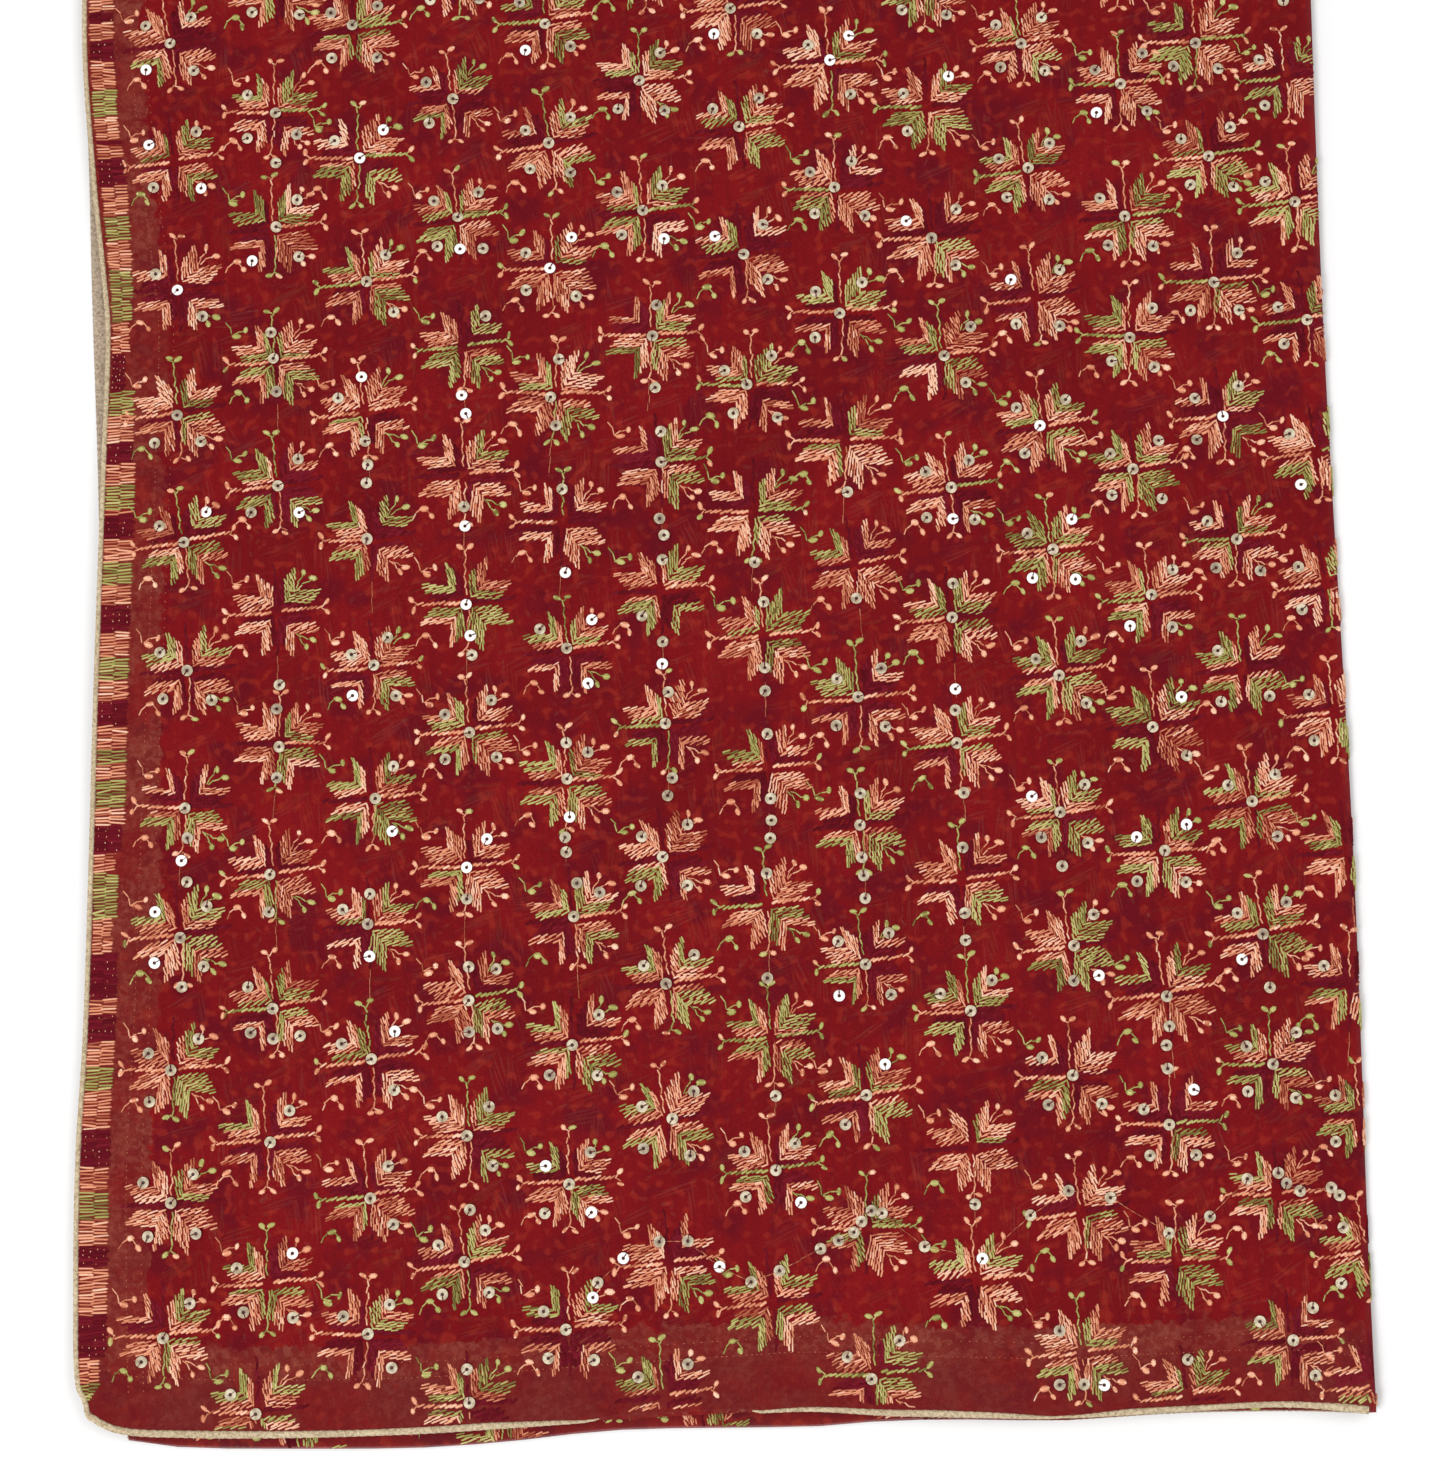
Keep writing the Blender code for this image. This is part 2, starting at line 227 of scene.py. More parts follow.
# Two rows of stitches through the facings, in millimetres: how far inside the cloth's
# edge, and from stitch to stitch. The end facings are darker up to the first row
SEAM_INSETS = (18.7, 24.6)
SEAM_PITCHES = (2.2, 3.4)
# How far from the side, the near hem and the fold the creases have their full height
CREASE_SIDE_FADE = 12 * MM
CREASE_HEM_FADE = 5 * MM
CREASE_FOLD_FADE = 25 * MM
# How far round the fold stitches can reach, in radians
FOLD_LAST_TURN = 2.6

# The end of the shawl that the camera sees, which gets the fine work, and how much
# of the lower leaf's embroidery is fine beside the near hem, where it shows
SHOWN_REACH = 605 * MM
HEM_SHOWS = 12 * MM
CLOTH_STEP = 4 * MM
PLAIN_STEP = 10 * MM


def smooth_step(value):
    """0 below 0, 1 above 1, and a smooth rise between them."""
    value = np.clip(value, 0.0, 1.0)
    return value * value * (3 - 2 * value)


def smooth_row(rows, key, place):
    """Reads column key of a table in millimetres on a smooth curve through its rows."""
    table = np.array(rows, dtype=float)
    place = np.asarray(place, dtype=float)
    last = len(rows) - 1
    wanted = np.clip(place / MM, table[0, 0], table[-1, 0])
    index = np.clip(np.searchsorted(table[:, 0], wanted) - 1, 0, last - 1)
    before = table[np.maximum(index - 1, 0)]
    start = table[index]
    end = table[index + 1]
    after = table[np.minimum(index + 2, last)]
    span = end[..., 0] - start[..., 0]
    part = (wanted - start[..., 0]) / span
    slope_start = (end[..., key] - before[..., key]) / (end[..., 0] - before[..., 0]) * span
    slope_end = (after[..., key] - start[..., key]) / (after[..., 0] - start[..., 0]) * span
    square = part * part
    cube = square * part
    value = (
        (2 * cube - 3 * square + 1) * start[..., key]
        + (cube - 2 * square + part) * slope_start
        + (3 * square - 2 * cube) * end[..., key]
        + (cube - square) * slope_end
    )
    return value * MM


def upper_side(y):
    """x of the upper leaf's open edge."""
    tape = ROLLED_WIDTH + SEAM_GAP
    return LEFT + smooth_row(SIDE_ROWS, SIDE_UPPER, y - NEAR) + tape


def lower_side(y):
    """x of the lower leaf's open edge."""
    tape = FLAT_WIDTH + SEAM_GAP
    return LEFT + smooth_row(SIDE_ROWS, SIDE_LOWER, y - NEAR) + tape


def fold_side(y):
    """x of the outside of the fold."""
    turn = 2 * math.pi * (y - NEAR) / FOLD_WAVE_LENGTH + FOLD_WAVE_PHASE
    return RIGHT - FOLD_WAVE * (1 + np.sin(turn)) / 2


def upper_near(x):
    """y of the upper leaf's near edge."""
    tape = ROLLED_WIDTH + SEAM_GAP
    return NEAR + smooth_row(HEM_ROWS, HEM_UPPER, x - LEFT) + tape


def lower_near(x):
    """y of the lower leaf's near edge."""
    return NEAR + smooth_row(HEM_ROWS, HEM_LOWER, x - LEFT)


def far_wave(x, height):
    return height * (1 + np.sin(2 * math.pi * x / FAR_WAVE_LENGTH)) / 2


def upper_far(x):
    """y of the upper leaf's far edge."""
    tape = ROLLED_WIDTH + SEAM_GAP
    return FAR - FAR_UPPER_INSET - far_wave(x, FAR_WAVE_UPPER) - tape


def lower_far(x):
    """y of the lower leaf's far edge."""
    tape = FLAT_WIDTH + SEAM_GAP
    return FAR - far_wave(x, FAR_WAVE_LOWER) - tape


def ripple(x, y):
    """Soft undulation of the upper leaf, never below 0."""
    height = 0.0
    for row in RIPPLES:
        turn = x / row[RIPPLE_ACROSS] + y / row[RIPPLE_ALONG]
        height = height + row[RIPPLE_HEIGHT] * (1 + np.sin(2 * math.pi * turn + row[RIPPLE_PHASE]))
    return height


def crease(x, y):
    """Height of the soft ridges over the ripples, which fade out along their length."""
    height = 0.0
    for row in CREASES:
        turn = math.radians(row[CREASE_TURN])
        off_x = x - LEFT - row[CREASE_ACROSS] * MM
        off_y = y - NEAR - row[CREASE_ALONG] * MM
        along = (off_x * math.cos(turn) + off_y * math.sin(turn)) / (row[CREASE_REACH] * MM)
        bend = 0.35 * row[CREASE_WIDTH] * MM * np.sin(2.6 * along + row[CREASE_ALONG])
        aside = (off_y * math.cos(turn) - off_x * math.sin(turn) + bend) / (row[CREASE_WIDTH] * MM)
        shape = np.exp(-aside * aside) - 0.3 * np.exp(-0.25 * aside * aside)
        height = height + row[CREASE_HEIGHT] * MM * shape * np.exp(-along * along * 1.6)
    return height


def lower_height(x, y):
    """z of the middle of the lower leaf's wall."""
    inside = y - lower_near(x)
    return WALL / 2 + TUCK_LIFT * (1 - smooth_step((inside - TUCK_FLAT) / TUCK_RAMP))


def facing_share(x, y):
    """1 over the facings, falling smoothly to 0 away from them."""
    side = x - upper_side(y) - FACING_SIDE_WIDTH
    near = y - upper_near(x) - FACING_END_WIDTH
    far = upper_far(x) - y - FACING_END_WIDTH
    inside = np.minimum(np.minimum(side, near), far)
    return 1 - smooth_step(inside / HEM_RISE_REACH)


def near_share(x, y):
    """1 over the lifted hem of the lower leaf, falling smoothly to 0 further in."""
    inside = y - lower_near(x)
    return 1 - smooth_step((inside - TUCK_FLAT - TUCK_RAMP) / HEM_RISE_REACH)


def solid_height(x, y):
    """z of the middle of the upper leaf's wall, as in the solid."""
    flat = WALL + LEAF_GAP + WALL / 2 + TUCK_LIFT * near_share(x, y)
    hems = (FACING_WALL + LEAF_GAP) * facing_share(x, y)
    fold = FOLD_RISE * (1 - smooth_step((fold_side(y) - x) / FOLD_RISE_REACH))
    return flat + hems + fold + ripple(x, y)


def fold_center(y):
    """x of the fold's axis, and the radius of the middle of its wall."""
    guess = fold_side(y) - FOLD_RISE - WALL
    radius = (solid_height(guess, y) - lower_height(guess, y)) / 2
    return fold_side(y) - WALL / 2 - radius, radius


def upper_height(x, y):
    """z of the upper leaf, with its creases, which stop before the edges and the fold."""
    side = smooth_step((x - upper_side(y)) / CREASE_SIDE_FADE)
    near = smooth_step((y - upper_near(x)) / CREASE_HEM_FADE)
    fold = smooth_step((fold_side(y) - x) / CREASE_FOLD_FADE)
    return solid_height(x, y) + crease(x, y) * side * near * fold


def facing_side_width(y):
    """Width of the side facing as it shows through the cloth."""
    share = (y - NEAR - FACING_NARROWS_START) / (FACING_NARROWS_END - FACING_NARROWS_START)
    return FACING_SIDE_WIDTH - FACING_NARROWS * smooth_step(share)


def leaf_y(station, x, near_edge, far_edge):
    """y at a distance from the near hem, bent to follow the edge line close by."""
    near_weight = np.maximum(0.0, 1 - station / END_REACH)
    far_weight = np.maximum(0.0, 1 - (LENGTH - station) / END_REACH)
    shift = (near_edge(x) - NEAR) * near_weight + (far_edge(x) - FAR) * far_weight
    return NEAR + station + shift


def even_steps(start, end, step):
    """Evenly spaced values from start to end, about a step apart."""
    return np.linspace(start, end, max(2, round((end - start) / step) + 1))


def on_upper(x, y, lift):
    """Points at a height over the upper leaf, carried round the fold where x passes it."""
    center, radius = fold_center(y)
    turn = np.clip((x - center) / radius, 0, FOLD_LAST_TURN)
    flat = x <= center
    over_x = center + (radius + WALL / 2 + lift) * np.sin(turn)
    top = upper_height(np.minimum(x, center), y)
    over_z = top - radius + (radius + lift) * np.cos(turn)
    return np.stack([np.where(flat, x, over_x), y, np.where(flat, top + lift, over_z)], axis=-1)


def inside_corner(x, y):
    """How far a point lies inside the line that cuts the lower left corner."""
    across = x - LEFT - CORNER_START[0]
    along = y - NEAR - CORNER_START[1]
    return across * CORNER_INWARD_X + along * CORNER_INWARD_Y


def cut_corner(points, depth, margin):
    """Draws the corner in to its line, by less and less inside it and towards its ends.

    depth is how far the form's edge lies outside the line, and margin how far inside its
    edge the points at its corner come to lie.
    """
    x = points[..., 0]
    y = points[..., 1]
    inside = inside_corner(x, y)
    along = (x - LEFT - CORNER_START[0]) * CORNER_INWARD_Y - (y - NEAR - CORNER_START[1]) * CORNER_INWARD_X
    share = np.maximum(0.0, 1 - (2 * along / CORNER_SIZE - 1) ** 2)
    scale = (CORNER_REACH - margin * share) / (CORNER_REACH + (depth - margin) * share)
    shift = np.where(inside < CORNER_REACH, (CORNER_REACH - inside) * (1 - scale), 0.0)
    moved = points.copy()
    moved[..., 0] += shift * CORNER_INWARD_X
    moved[..., 1] += shift * CORNER_INWARD_Y
    return moved


def on_lower(x, y, lift):
    """Points at a height over the lower leaf."""
    return np.stack([x, y, lower_height(x, y) + lift], axis=-1)


def mesh_object(name, points, faces, material, smooth=True):
    """Makes a mesh from arrays of points and of faces with the same number of corners."""
    mesh = bpy.data.meshes.new(name)
    corners = faces.shape[1]
    mesh.vertices.add(len(points))
    mesh.vertices.foreach_set("co", np.asarray(points, dtype=np.float32).ravel())
    mesh.loops.add(faces.size)
    mesh.loops.foreach_set("vertex_index", faces.astype(np.int32).ravel())
    mesh.polygons.add(len(faces))
    mesh.polygons.foreach_set("loop_start", np.arange(0, faces.size, corners, dtype=np.int32))
    mesh.polygons.foreach_set("use_smooth", np.full(len(faces), smooth))
    mesh.update(calc_edges=True)
    mesh.validate()
    mesh.materials.append(material)
    made = bpy.data.objects.new(name, mesh)
    bpy.context.scene.collection.objects.link(made)
    return made


def point_values(made, name, values):
    """Stores one number for each point, for the material to read."""
    layer = made.data.attributes.new(name, "FLOAT", "POINT")
    layer.data.foreach_set("value", np.asarray(values, dtype=np.float32).ravel())


def grid_faces(rows, columns, closed=False):
    """Four-cornered faces of a grid of points, joined round in each row if closed."""
    spots = np.arange(rows * columns).reshape(rows, columns)
    if closed:
        spots = np.concatenate([spots, spots[:, :1]], axis=1)
    corners = (spots[:-1, :-1], spots[:-1, 1:], spots[1:, 1:], spots[1:, :-1])
    return np.stack(corners, axis=-1).reshape(-1, 4)


class Nodes:
    """A material's node tree, with short ways to add and join nodes."""

    def __init__(self, name):
        self.material = bpy.data.materials.new(name)
        self.material.use_nodes = True
        self.tree = self.material.node_tree
        self.shader = self.tree.nodes["Principled BSDF"]
        self.place = self.tree.nodes.new("ShaderNodeTexCoord").outputs["Object"]

    def join(self, source, target):
        """Links a node's output to an input, or gives the input a value."""
        if hasattr(source, "is_output"):
            self.tree.links.new(source, target)
        else:
            target.default_value = source

    def noise(self, scale, detail=2.0, roughness=0.5, stretch=(1, 1, 1)):
        """Noise over the object's own metres, with features about 1 / scale long."""
        spread = self.tree.nodes.new("ShaderNodeMapping")
        spread.inputs["Scale"].default_value = stretch
        self.join(self.place, spread.inputs["Vector"])
        node = self.tree.nodes.new("ShaderNodeTexNoise")
        node.inputs["Scale"].default_value = scale
        node.inputs["Detail"].default_value = detail
        node.inputs["Roughness"].default_value = roughness
        self.join(spread.outputs["Vector"], node.inputs["Vector"])
        return node.outputs["Fac"]

    def wave(self, scale, direction, distortion=0.0, detail_scale=1.0):
        node = self.tree.nodes.new("ShaderNodeTexWave")
        node.bands_direction = direction
        node.inputs["Scale"].default_value = scale
        node.inputs["Distortion"].default_value = distortion
        node.inputs["Detail Scale"].default_value = detail_scale
        self.join(self.place, node.inputs["Vector"])
        return node.outputs["Fac"]

    def points(self, name):
        node = self.tree.nodes.new("ShaderNodeAttribute")
        node.attribute_name = name
        return node.outputs["Fac"]

    def span(self, value, low, high, to_low=0.0, to_high=1.0):
        node = self.tree.nodes.new("ShaderNodeMapRange")
        node.inputs["From Min"].default_value = low
        node.inputs["From Max"].default_value = high
        node.inputs["To Min"].default_value = to_low
        node.inputs["To Max"].default_value = to_high
        self.join(value, node.inputs["Value"])
        return node.outputs["Result"]

    def math(self, operation, first, second):
        node = self.tree.nodes.new("ShaderNodeMath")
        node.operation = operation
        self.join(first, node.inputs[0])
        self.join(second, node.inputs[1])
        return node.outputs["Value"]

    def mix(self, share, first, second):
        node = self.tree.nodes.new("ShaderNodeMix")
        node.data_type = "RGBA"
        self.join(share, node.inputs["Factor"])
        for color, target in ((first, node.inputs["A"]), (second, node.inputs["B"])):
            self.join(color if hasattr(color, "is_output") else (*color, 1), target)
        return node.outputs["Result"]

    def bump(self, height, distance, strength=1.0):
        node = self.tree.nodes.new("ShaderNodeBump")
        node.inputs["Strength"].default_value = strength
        node.inputs["Distance"].default_value = distance
        self.join(height, node.inputs["Height"])
        self.join(node.outputs["Normal"], self.shader.inputs["Normal"])

    def finish(self, color, roughness, gloss):
        """Sets the surface, each part of it from a node's output or a value."""
        self.join(color, self.shader.inputs["Base Color"])
        self.join(roughness, self.shader.inputs["Roughness"])
        self.join(gloss, self.shader.inputs["Specular IOR Level"])
        return self.material


# How much of what is behind it the cloth hides
CLOTH_ALPHA = 0.86


def cloth_material():
    """Sheer red georgette: crinkled weave, mottled, browner over the facings, with painted light and shade
    of soft wrinkles in broad clouds and painted shade of fine creases in thin darker streaks.
    """
    nodes = Nodes("cloth_sheer_red")
    weave = nodes.wave(900, "X")
    crinkle = nodes.noise(1500, 1, 0.6)
    # painted light and shade: broad soft clouds between a darker and a lighter red, for the cloth's soft
    # wrinkles
    painted_wrinkle_shading = nodes.span(nodes.noise(16, 1, 0.6), 0.35, 0.7)
    mottled = nodes.span(nodes.noise(120, 2, 0.6), 0.3, 0.75)
    # painted shade: thin streaks along the shawl that darken the red, for the shade of fine creases
    painted_crease_shade = nodes.span(nodes.noise(420, 0, 0.5, (1, 0.10, 1)), 0.40, 0.68)
    purple = nodes.span(nodes.noise(58, 2, 0.6), 0.50, 0.64, 0.0, 0.72)
    ember = nodes.span(nodes.noise(260, 0, 0.5), 0.58, 0.74, 0.0, 0.48)
    speck = nodes.span(nodes.noise(380, 1, 0.6), 0.46, 0.62, 0.0, 0.60)
    red = nodes.mix(painted_wrinkle_shading, (0.215, 0.0058, 0.0085), (0.285, 0.0080, 0.0105))
    red = nodes.mix(nodes.math("MULTIPLY", mottled, 0.30), red, (0.160, 0.0045, 0.010))
    red = nodes.mix(purple, red, (0.135, 0.0045, 0.0135))
    red = nodes.mix(ember, red, (0.400, 0.030, 0.016))
    red = nodes.mix(nodes.math("MULTIPLY", painted_crease_shade, 0.22), red, (0.130, 0.004, 0.009))
    brown = nodes.mix(mottled, (0.255, 0.036, 0.025), (0.175, 0.013, 0.014))
    brown = nodes.mix(speck, brown, (0.320, 0.075, 0.050))
    brown = nodes.mix(nodes.math("MULTIPLY", nodes.points("hem"), 0.60), brown, (0.165, 0.014, 0.016))
    waver = nodes.span(nodes.noise(170, 2, 0.7), 0.3, 0.7, -0.5, 0.5)
    ragged = nodes.math("ADD", nodes.points("facing"), waver)
    patchy = nodes.span(nodes.noise(34, 2, 0.65), 0.34, 0.62, 0.30, 1.0)
    facing = nodes.math("MULTIPLY", nodes.span(ragged, 0.40, 0.62), patchy)
    color = nodes.mix(facing, red, brown)
    fine = nodes.span(crinkle, 0.3, 0.7, 0.0, 0.30)
    color = nodes.mix(fine, color, (0.055, 0.002, 0.004))
    nodes.join(CLOTH_ALPHA, nodes.shader.inputs["Alpha"])
    nodes.bump(nodes.math("ADD", nodes.math("MULTIPLY", weave, 0.3), crinkle), 0.00016, 0.7)
    return nodes.finish(color, nodes.span(crinkle, 0.3, 0.7, 0.72, 0.9), 0.06)


def facing_material():
    """Plain woven strip of a browner red."""
    nodes = Nodes("facing_plain_weave")
    weave = nodes.math("ADD", nodes.wave(900, "X", 1, 30), nodes.wave(900, "Y", 1, 30))
    mottled = nodes.span(nodes.noise(140, 3, 0.6), 0.3, 0.75)
    nodes.bump(weave, 0.00012, 0.6)
    return nodes.finish(nodes.mix(mottled, (0.28, 0.042, 0.030), (0.17, 0.014, 0.015)), 0.8, 0.08)


def tape_material(name, dark, body, light):
    """Gold and grey yarn, woven tight, with brown specks and fine flecks of painted highlight."""
    nodes = Nodes(name)
    speck = nodes.noise(820, 2, 0.7)
    grain = nodes.noise(2600, 2, 0.6)
    patch = nodes.span(nodes.noise(60, 2), 0.35, 0.65)
    color = nodes.mix(nodes.span(speck, 0.38, 0.60), dark, body)
    color = nodes.mix(nodes.math("MULTIPLY", patch, 0.3), color, dark)
    # painted highlight: where the fine grain is high, the yarn turns towards the light colour
    color = nodes.mix(nodes.span(grain, 0.45, 0.7, 0.0, 0.6), color, light)
    nodes.bump(nodes.math("ADD", speck, grain), 0.00025, 0.9)
    return nodes.finish(color, 0.6, 0.3)


def thread_material(name, shade, body, light, gloss):
    """Soft twisted yarn whose tone differs at random from stitch to stitch, from a darker colour that is
    partly painted shade, through its own colour, to a lighter one that is partly painted highlight.
    """
    nodes = Nodes(name)
    fibre = nodes.noise(2400, 2, 0.6, (1, 0.5, 1))
    tone = nodes.points("tone")
    color = nodes.mix(nodes.span(tone, 0.0, 0.5), shade, body)
    color = nodes.mix(nodes.span(tone, 0.5, 1.0), color, light)
    color = nodes.mix(nodes.span(fibre, 0.50, 0.75, 0.0, 0.45), color, shade)
    nodes.bump(fibre, 0.0001, 0.6)
    return nodes.finish(color, 0.7, gloss)


def sequin_material():
    """Thin clear film, clouded, with a few painted near white as glints, and the hole painted near black as
    shade.
    """
    nodes = Nodes("sequin_film")
    cloud = nodes.noise(420, 2, 0.5)
    tone = nodes.points("tone")
    dull = nodes.mix(nodes.span(cloud, 0.38, 0.62), (0.39, 0.305, 0.195), (0.69, 0.600, 0.44))
    color = nodes.mix(nodes.span(tone, 0.0, 0.4), (0.22, 0.16, 0.11), dull)
    # painted glint: the highest tones turn the film near white
    color = nodes.mix(nodes.span(tone, 0.90, 1.0), color, (0.95, 0.93, 0.90))
    # painted shade: the lowest tones, which only the hole's rings get, turn it near black
    color = nodes.mix(nodes.span(tone, -0.9, -0.5), (0.045, 0.010, 0.009), color)
    return nodes.finish(color, nodes.span(cloud, 0.35, 0.65, 0.35, 0.55), 0.3)


CLOTH = cloth_material()
FACING = facing_material()
# Colours of each tape: its specks, its yarn, and its painted highlight
ROLLED_TAPE = tape_material(
    "tape_rolled_gold", (0.330, 0.225, 0.120), (0.640, 0.510, 0.320), (0.820, 0.720, 0.540)
)
FLAT_TAPE = tape_material(
    "tape_flat_gold", (0.250, 0.172, 0.118), (0.530, 0.405, 0.285), (0.700, 0.590, 0.460)
)
# Threads: a darker colour that is partly painted shade, the yarn's own colour, a lighter one that is partly
# painted highlight, and gloss
PEACH = thread_material(
    "thread_peach", (0.36, 0.075, 0.035), (0.80, 0.33, 0.18), (0.94, 0.66, 0.48), 0.2
)
GREEN = thread_material(
    "thread_green", (0.16, 0.125, 0.028), (0.41, 0.385, 0.110), (0.63, 0.57, 0.24), 0.2
)
MAROON = thread_material(
    "thread_maroon", (0.085, 0.0035, 0.0075), (0.128, 0.005, 0.0125), (0.185, 0.010, 0.021), 0.04
)
SEQUIN = sequin_material()


# The cloth, one thin shell: lower leaf, fold, upper leaf

UPPER_EDGE_COLUMNS = tuple(value * MM for value in (-2.7, 0, 4, 9, 14, 19, 22, 24, 26, 28, 30))
NEAR_ROWS = tuple(value * MM for value in (0, 4, 9, 14, 19, 24, 28, 31, 33, 35, 37, 39))
LOWER_STEP = 20 * MM
FOLD_STEPS = 10
# How far the edge of the facing wavers where it shows through the cloth
FACING_BLUR = 4 * MM


def row_stations():
    """Distances from the near hem to each grid line along the shawl."""
    near = np.array(NEAR_ROWS)
    shown = even_steps(near[-1], SHOWN_REACH, CLOTH_STEP)[1:]
    plain = even_steps(SHOWN_REACH, LENGTH - near[-1], PLAIN_STEP)[1:]
    far = LENGTH - near[-2::-1]
    return np.concatenate([near, shown, plain, far])


def lower_leaf(stations):
    """Grid of points over the lower leaf, from its open edge to the fold."""
    side = lower_side(NEAR + stations)
    center = fold_center(NEAR + stations)[0]
    share = even_steps(0, FOLDED_WIDTH, LOWER_STEP)[None, :] / FOLDED_WIDTH
    x = side + (center - side) * share
    y = leaf_y(stations, x, lower_near, lower_far)
    return np.stack([x, y, lower_height(x, y)], axis=-1)


def upper_leaf(stations):
    """Grid of points over the upper leaf, from past its open edge to the fold."""
    edge = upper_side(NEAR + stations) + np.array(UPPER_EDGE_COLUMNS)[None, :]
    center = fold_center(NEAR + stations)[0]
    inner = even_steps(0, FOLDED_WIDTH - UPPER_EDGE_COLUMNS[-1], CLOTH_STEP)[None, 1:]
    share = inner / (FOLDED_WIDTH - UPPER_EDGE_COLUMNS[-1])
    x = np.concatenate([edge, edge[:, -1:] + (center - edge[:, -1:]) * share], axis=1)
    y = leaf_y(stations, x, upper_near, upper_far)
    y[0] -= EDGE_REACH
    y[-1] += EDGE_REACH
    points = np.stack([x, y, upper_height(x, y)], axis=-1)
    return cut_corner(points, CORNER_DEPTH, CORNER_CLOTH_MARGIN)


def fold_points(stations, start, end):
    """Grid of points round the fold, between the last columns of the two leaves."""
    center, radius = fold_center(NEAR + stations)
    turn = math.pi * np.arange(1, FOLD_STEPS)[None, :] / FOLD_STEPS
    share = (1 - np.cos(turn)) / 2
    x = center + (radius + WALL / 2) * np.sin(turn)
    y = start[..., 1] + (end[..., 1] - start[..., 1]) * share
    z = start[..., 2] + (end[..., 2] - start[..., 2]) * share
    return np.stack([x, y, z], axis=-1)


def make_cloth():
    stations = row_stations()[:, None]
    lower = lower_leaf(stations)
    upper = upper_leaf(stations)
    fold = fold_points(stations, lower[:, -1:, :], upper[:, -1:, :])
    points = np.concatenate([lower, fold, upper[:, ::-1]], axis=1)
    rows, columns = points.shape[:2]
    made = mesh_object("cloth_shell", points.reshape(-1, 3), grid_faces(rows, columns)[:, ::-1], CLOTH)

    x = points[..., 0]
    y = points[..., 1]
    side = x - upper_side(y) - facing_side_width(y)
    near = y - upper_near(x)
    far = upper_far(x) - y
    end = np.minimum(near, far)
    inside = np.minimum(side, end - FACING_END_WIDTH)
    past_seam = end - SEAM_INSETS[0] * MM
    over = np.zeros((rows, columns))
    over[:, lower.shape[1] + FOLD_STEPS - 1:] = 1
    point_values(made, "facing", np.clip(0.5 - inside / FACING_BLUR, 0, 1) * over)
    point_values(made, "hem", np.clip(0.5 - past_seam / FACING_BLUR, 0, 1) * over)
    return made


# Facings under the upper leaf

# Points across the side facing, and along each end facing
FACING_SIDE_POINTS = 6
FACING_END_POINTS = 100
FACING_END_STEP = 5 * MM


def facing_object(name, x, y):
    """A strip under the upper leaf, with its corner drawn in as the cloth's is."""
    drop = WALL / 2 + LEAF_GAP + FACING_WALL / 2
    points = np.stack([x, y, solid_height(x, y) - drop], axis=-1)
    points = cut_corner(points, CORNER_DEPTH, CORNER_CLOTH_MARGIN)
    return mesh_object(name, points.reshape(-1, 3), grid_faces(*x.shape), FACING)


def make_facing_side():
    stations = row_stations()
    stations = stations[(stations > END_REACH / 2) & (stations < LENGTH - END_REACH / 2)][:, None]
    share = np.linspace(0, 1, FACING_SIDE_POINTS)[None, :]
    reach = facing_side_width(NEAR + stations) + FACING_OUTSET
    x = upper_side(NEAR + stations) - FACING_OUTSET + reach * share
    y = leaf_y(stations, x, upper_near, upper_far)
    return facing_object("facing_side_strip", x, y)


def make_facing_end(name, end, edge, inward):
    inset = even_steps(-FACING_OUTSET, FACING_END_WIDTH, FACING_END_STEP)[:, None]
    corner = upper_side(end + inward * inset)
    start = upper_side(edge(corner) + inward * inset) - FACING_OUTSET
    stop = fold_center(end + inward * inset)[0] - FACING_FOLD_MARGIN
    x = start + (stop - start) * np.linspace(0, 1, FACING_END_POINTS)[None, :]
    return facing_object(name, x, edge(x) + inward * inset)


# Tapes

# Steps along the line that a tape follows, over the hems and beside the lower leaf
HEM_ROUTE_STEP = 4 * MM
SIDE_ROUTE_STEP = 5 * MM
# Corners of a tape's section
TAPE_SIDES = 10


def distances(route):
    """How far along the route each of its points is."""
    steps = np.linalg.norm(np.diff(route[:, :3], axis=0), axis=1)
    return np.concatenate([[0], np.cumsum(steps)])


def resample(route, shown_step, plain_step):
    """The route's rows moved to even distances, closer together where the camera looks."""
    distance = distances(route)
    spots = [0.0]
    while spots[-1] < distance[-1]:
        y = np.interp(spots[-1], distance, route[:, 1])
        spots.append(spots[-1] + (shown_step if y < NEAR + SHOWN_REACH else plain_step))
    spots = np.array(spots) * distance[-1] / spots[-1]
    return np.stack([np.interp(spots, distance, column) for column in route.T], axis=-1)


def side_ways(route):
    """Direction across the route in plan, to its left, at each of its points."""
    way = np.gradient(route[:, :2], axis=0)
    way /= np.linalg.norm(way, axis=1)[:, None]
    return np.stack([-way[:, 1], way[:, 0], np.zeros(len(route))], axis=-1)


def swept_tape(name, route, width, height, round_power, strand, material):
    """A closed tape with a rounded section, and strands that press in along its edges."""
    turn = 2 * math.pi * np.arange(TAPE_SIDES)[None, :] / TAPE_SIDES
    across = np.sign(np.cos(turn)) * np.abs(np.cos(turn)) ** round_power
    up = np.sign(np.sin(turn)) * np.abs(np.sin(turn)) ** round_power
    press = STRAND_DEPTH / np.maximum(width, ROLLED_WIDTH)
    twist = 1 + press * np.sin(2 * math.pi * distances(route)[:, None] / strand + 2.0 * across)
    left = side_ways(route)[:, None, :]
    offset = left * (across * width / 2 * twist)[..., None]
    offset[..., 2] += up * height / 2 * twist
    offset[..., 2] = np.maximum(offset[..., 2], -route[:, None, 2])
    points = (route[:, None, :] + offset).reshape(-1, 3)
    return mesh_object(name, points, grid_faces(len(route), TAPE_SIDES, closed=True), material)


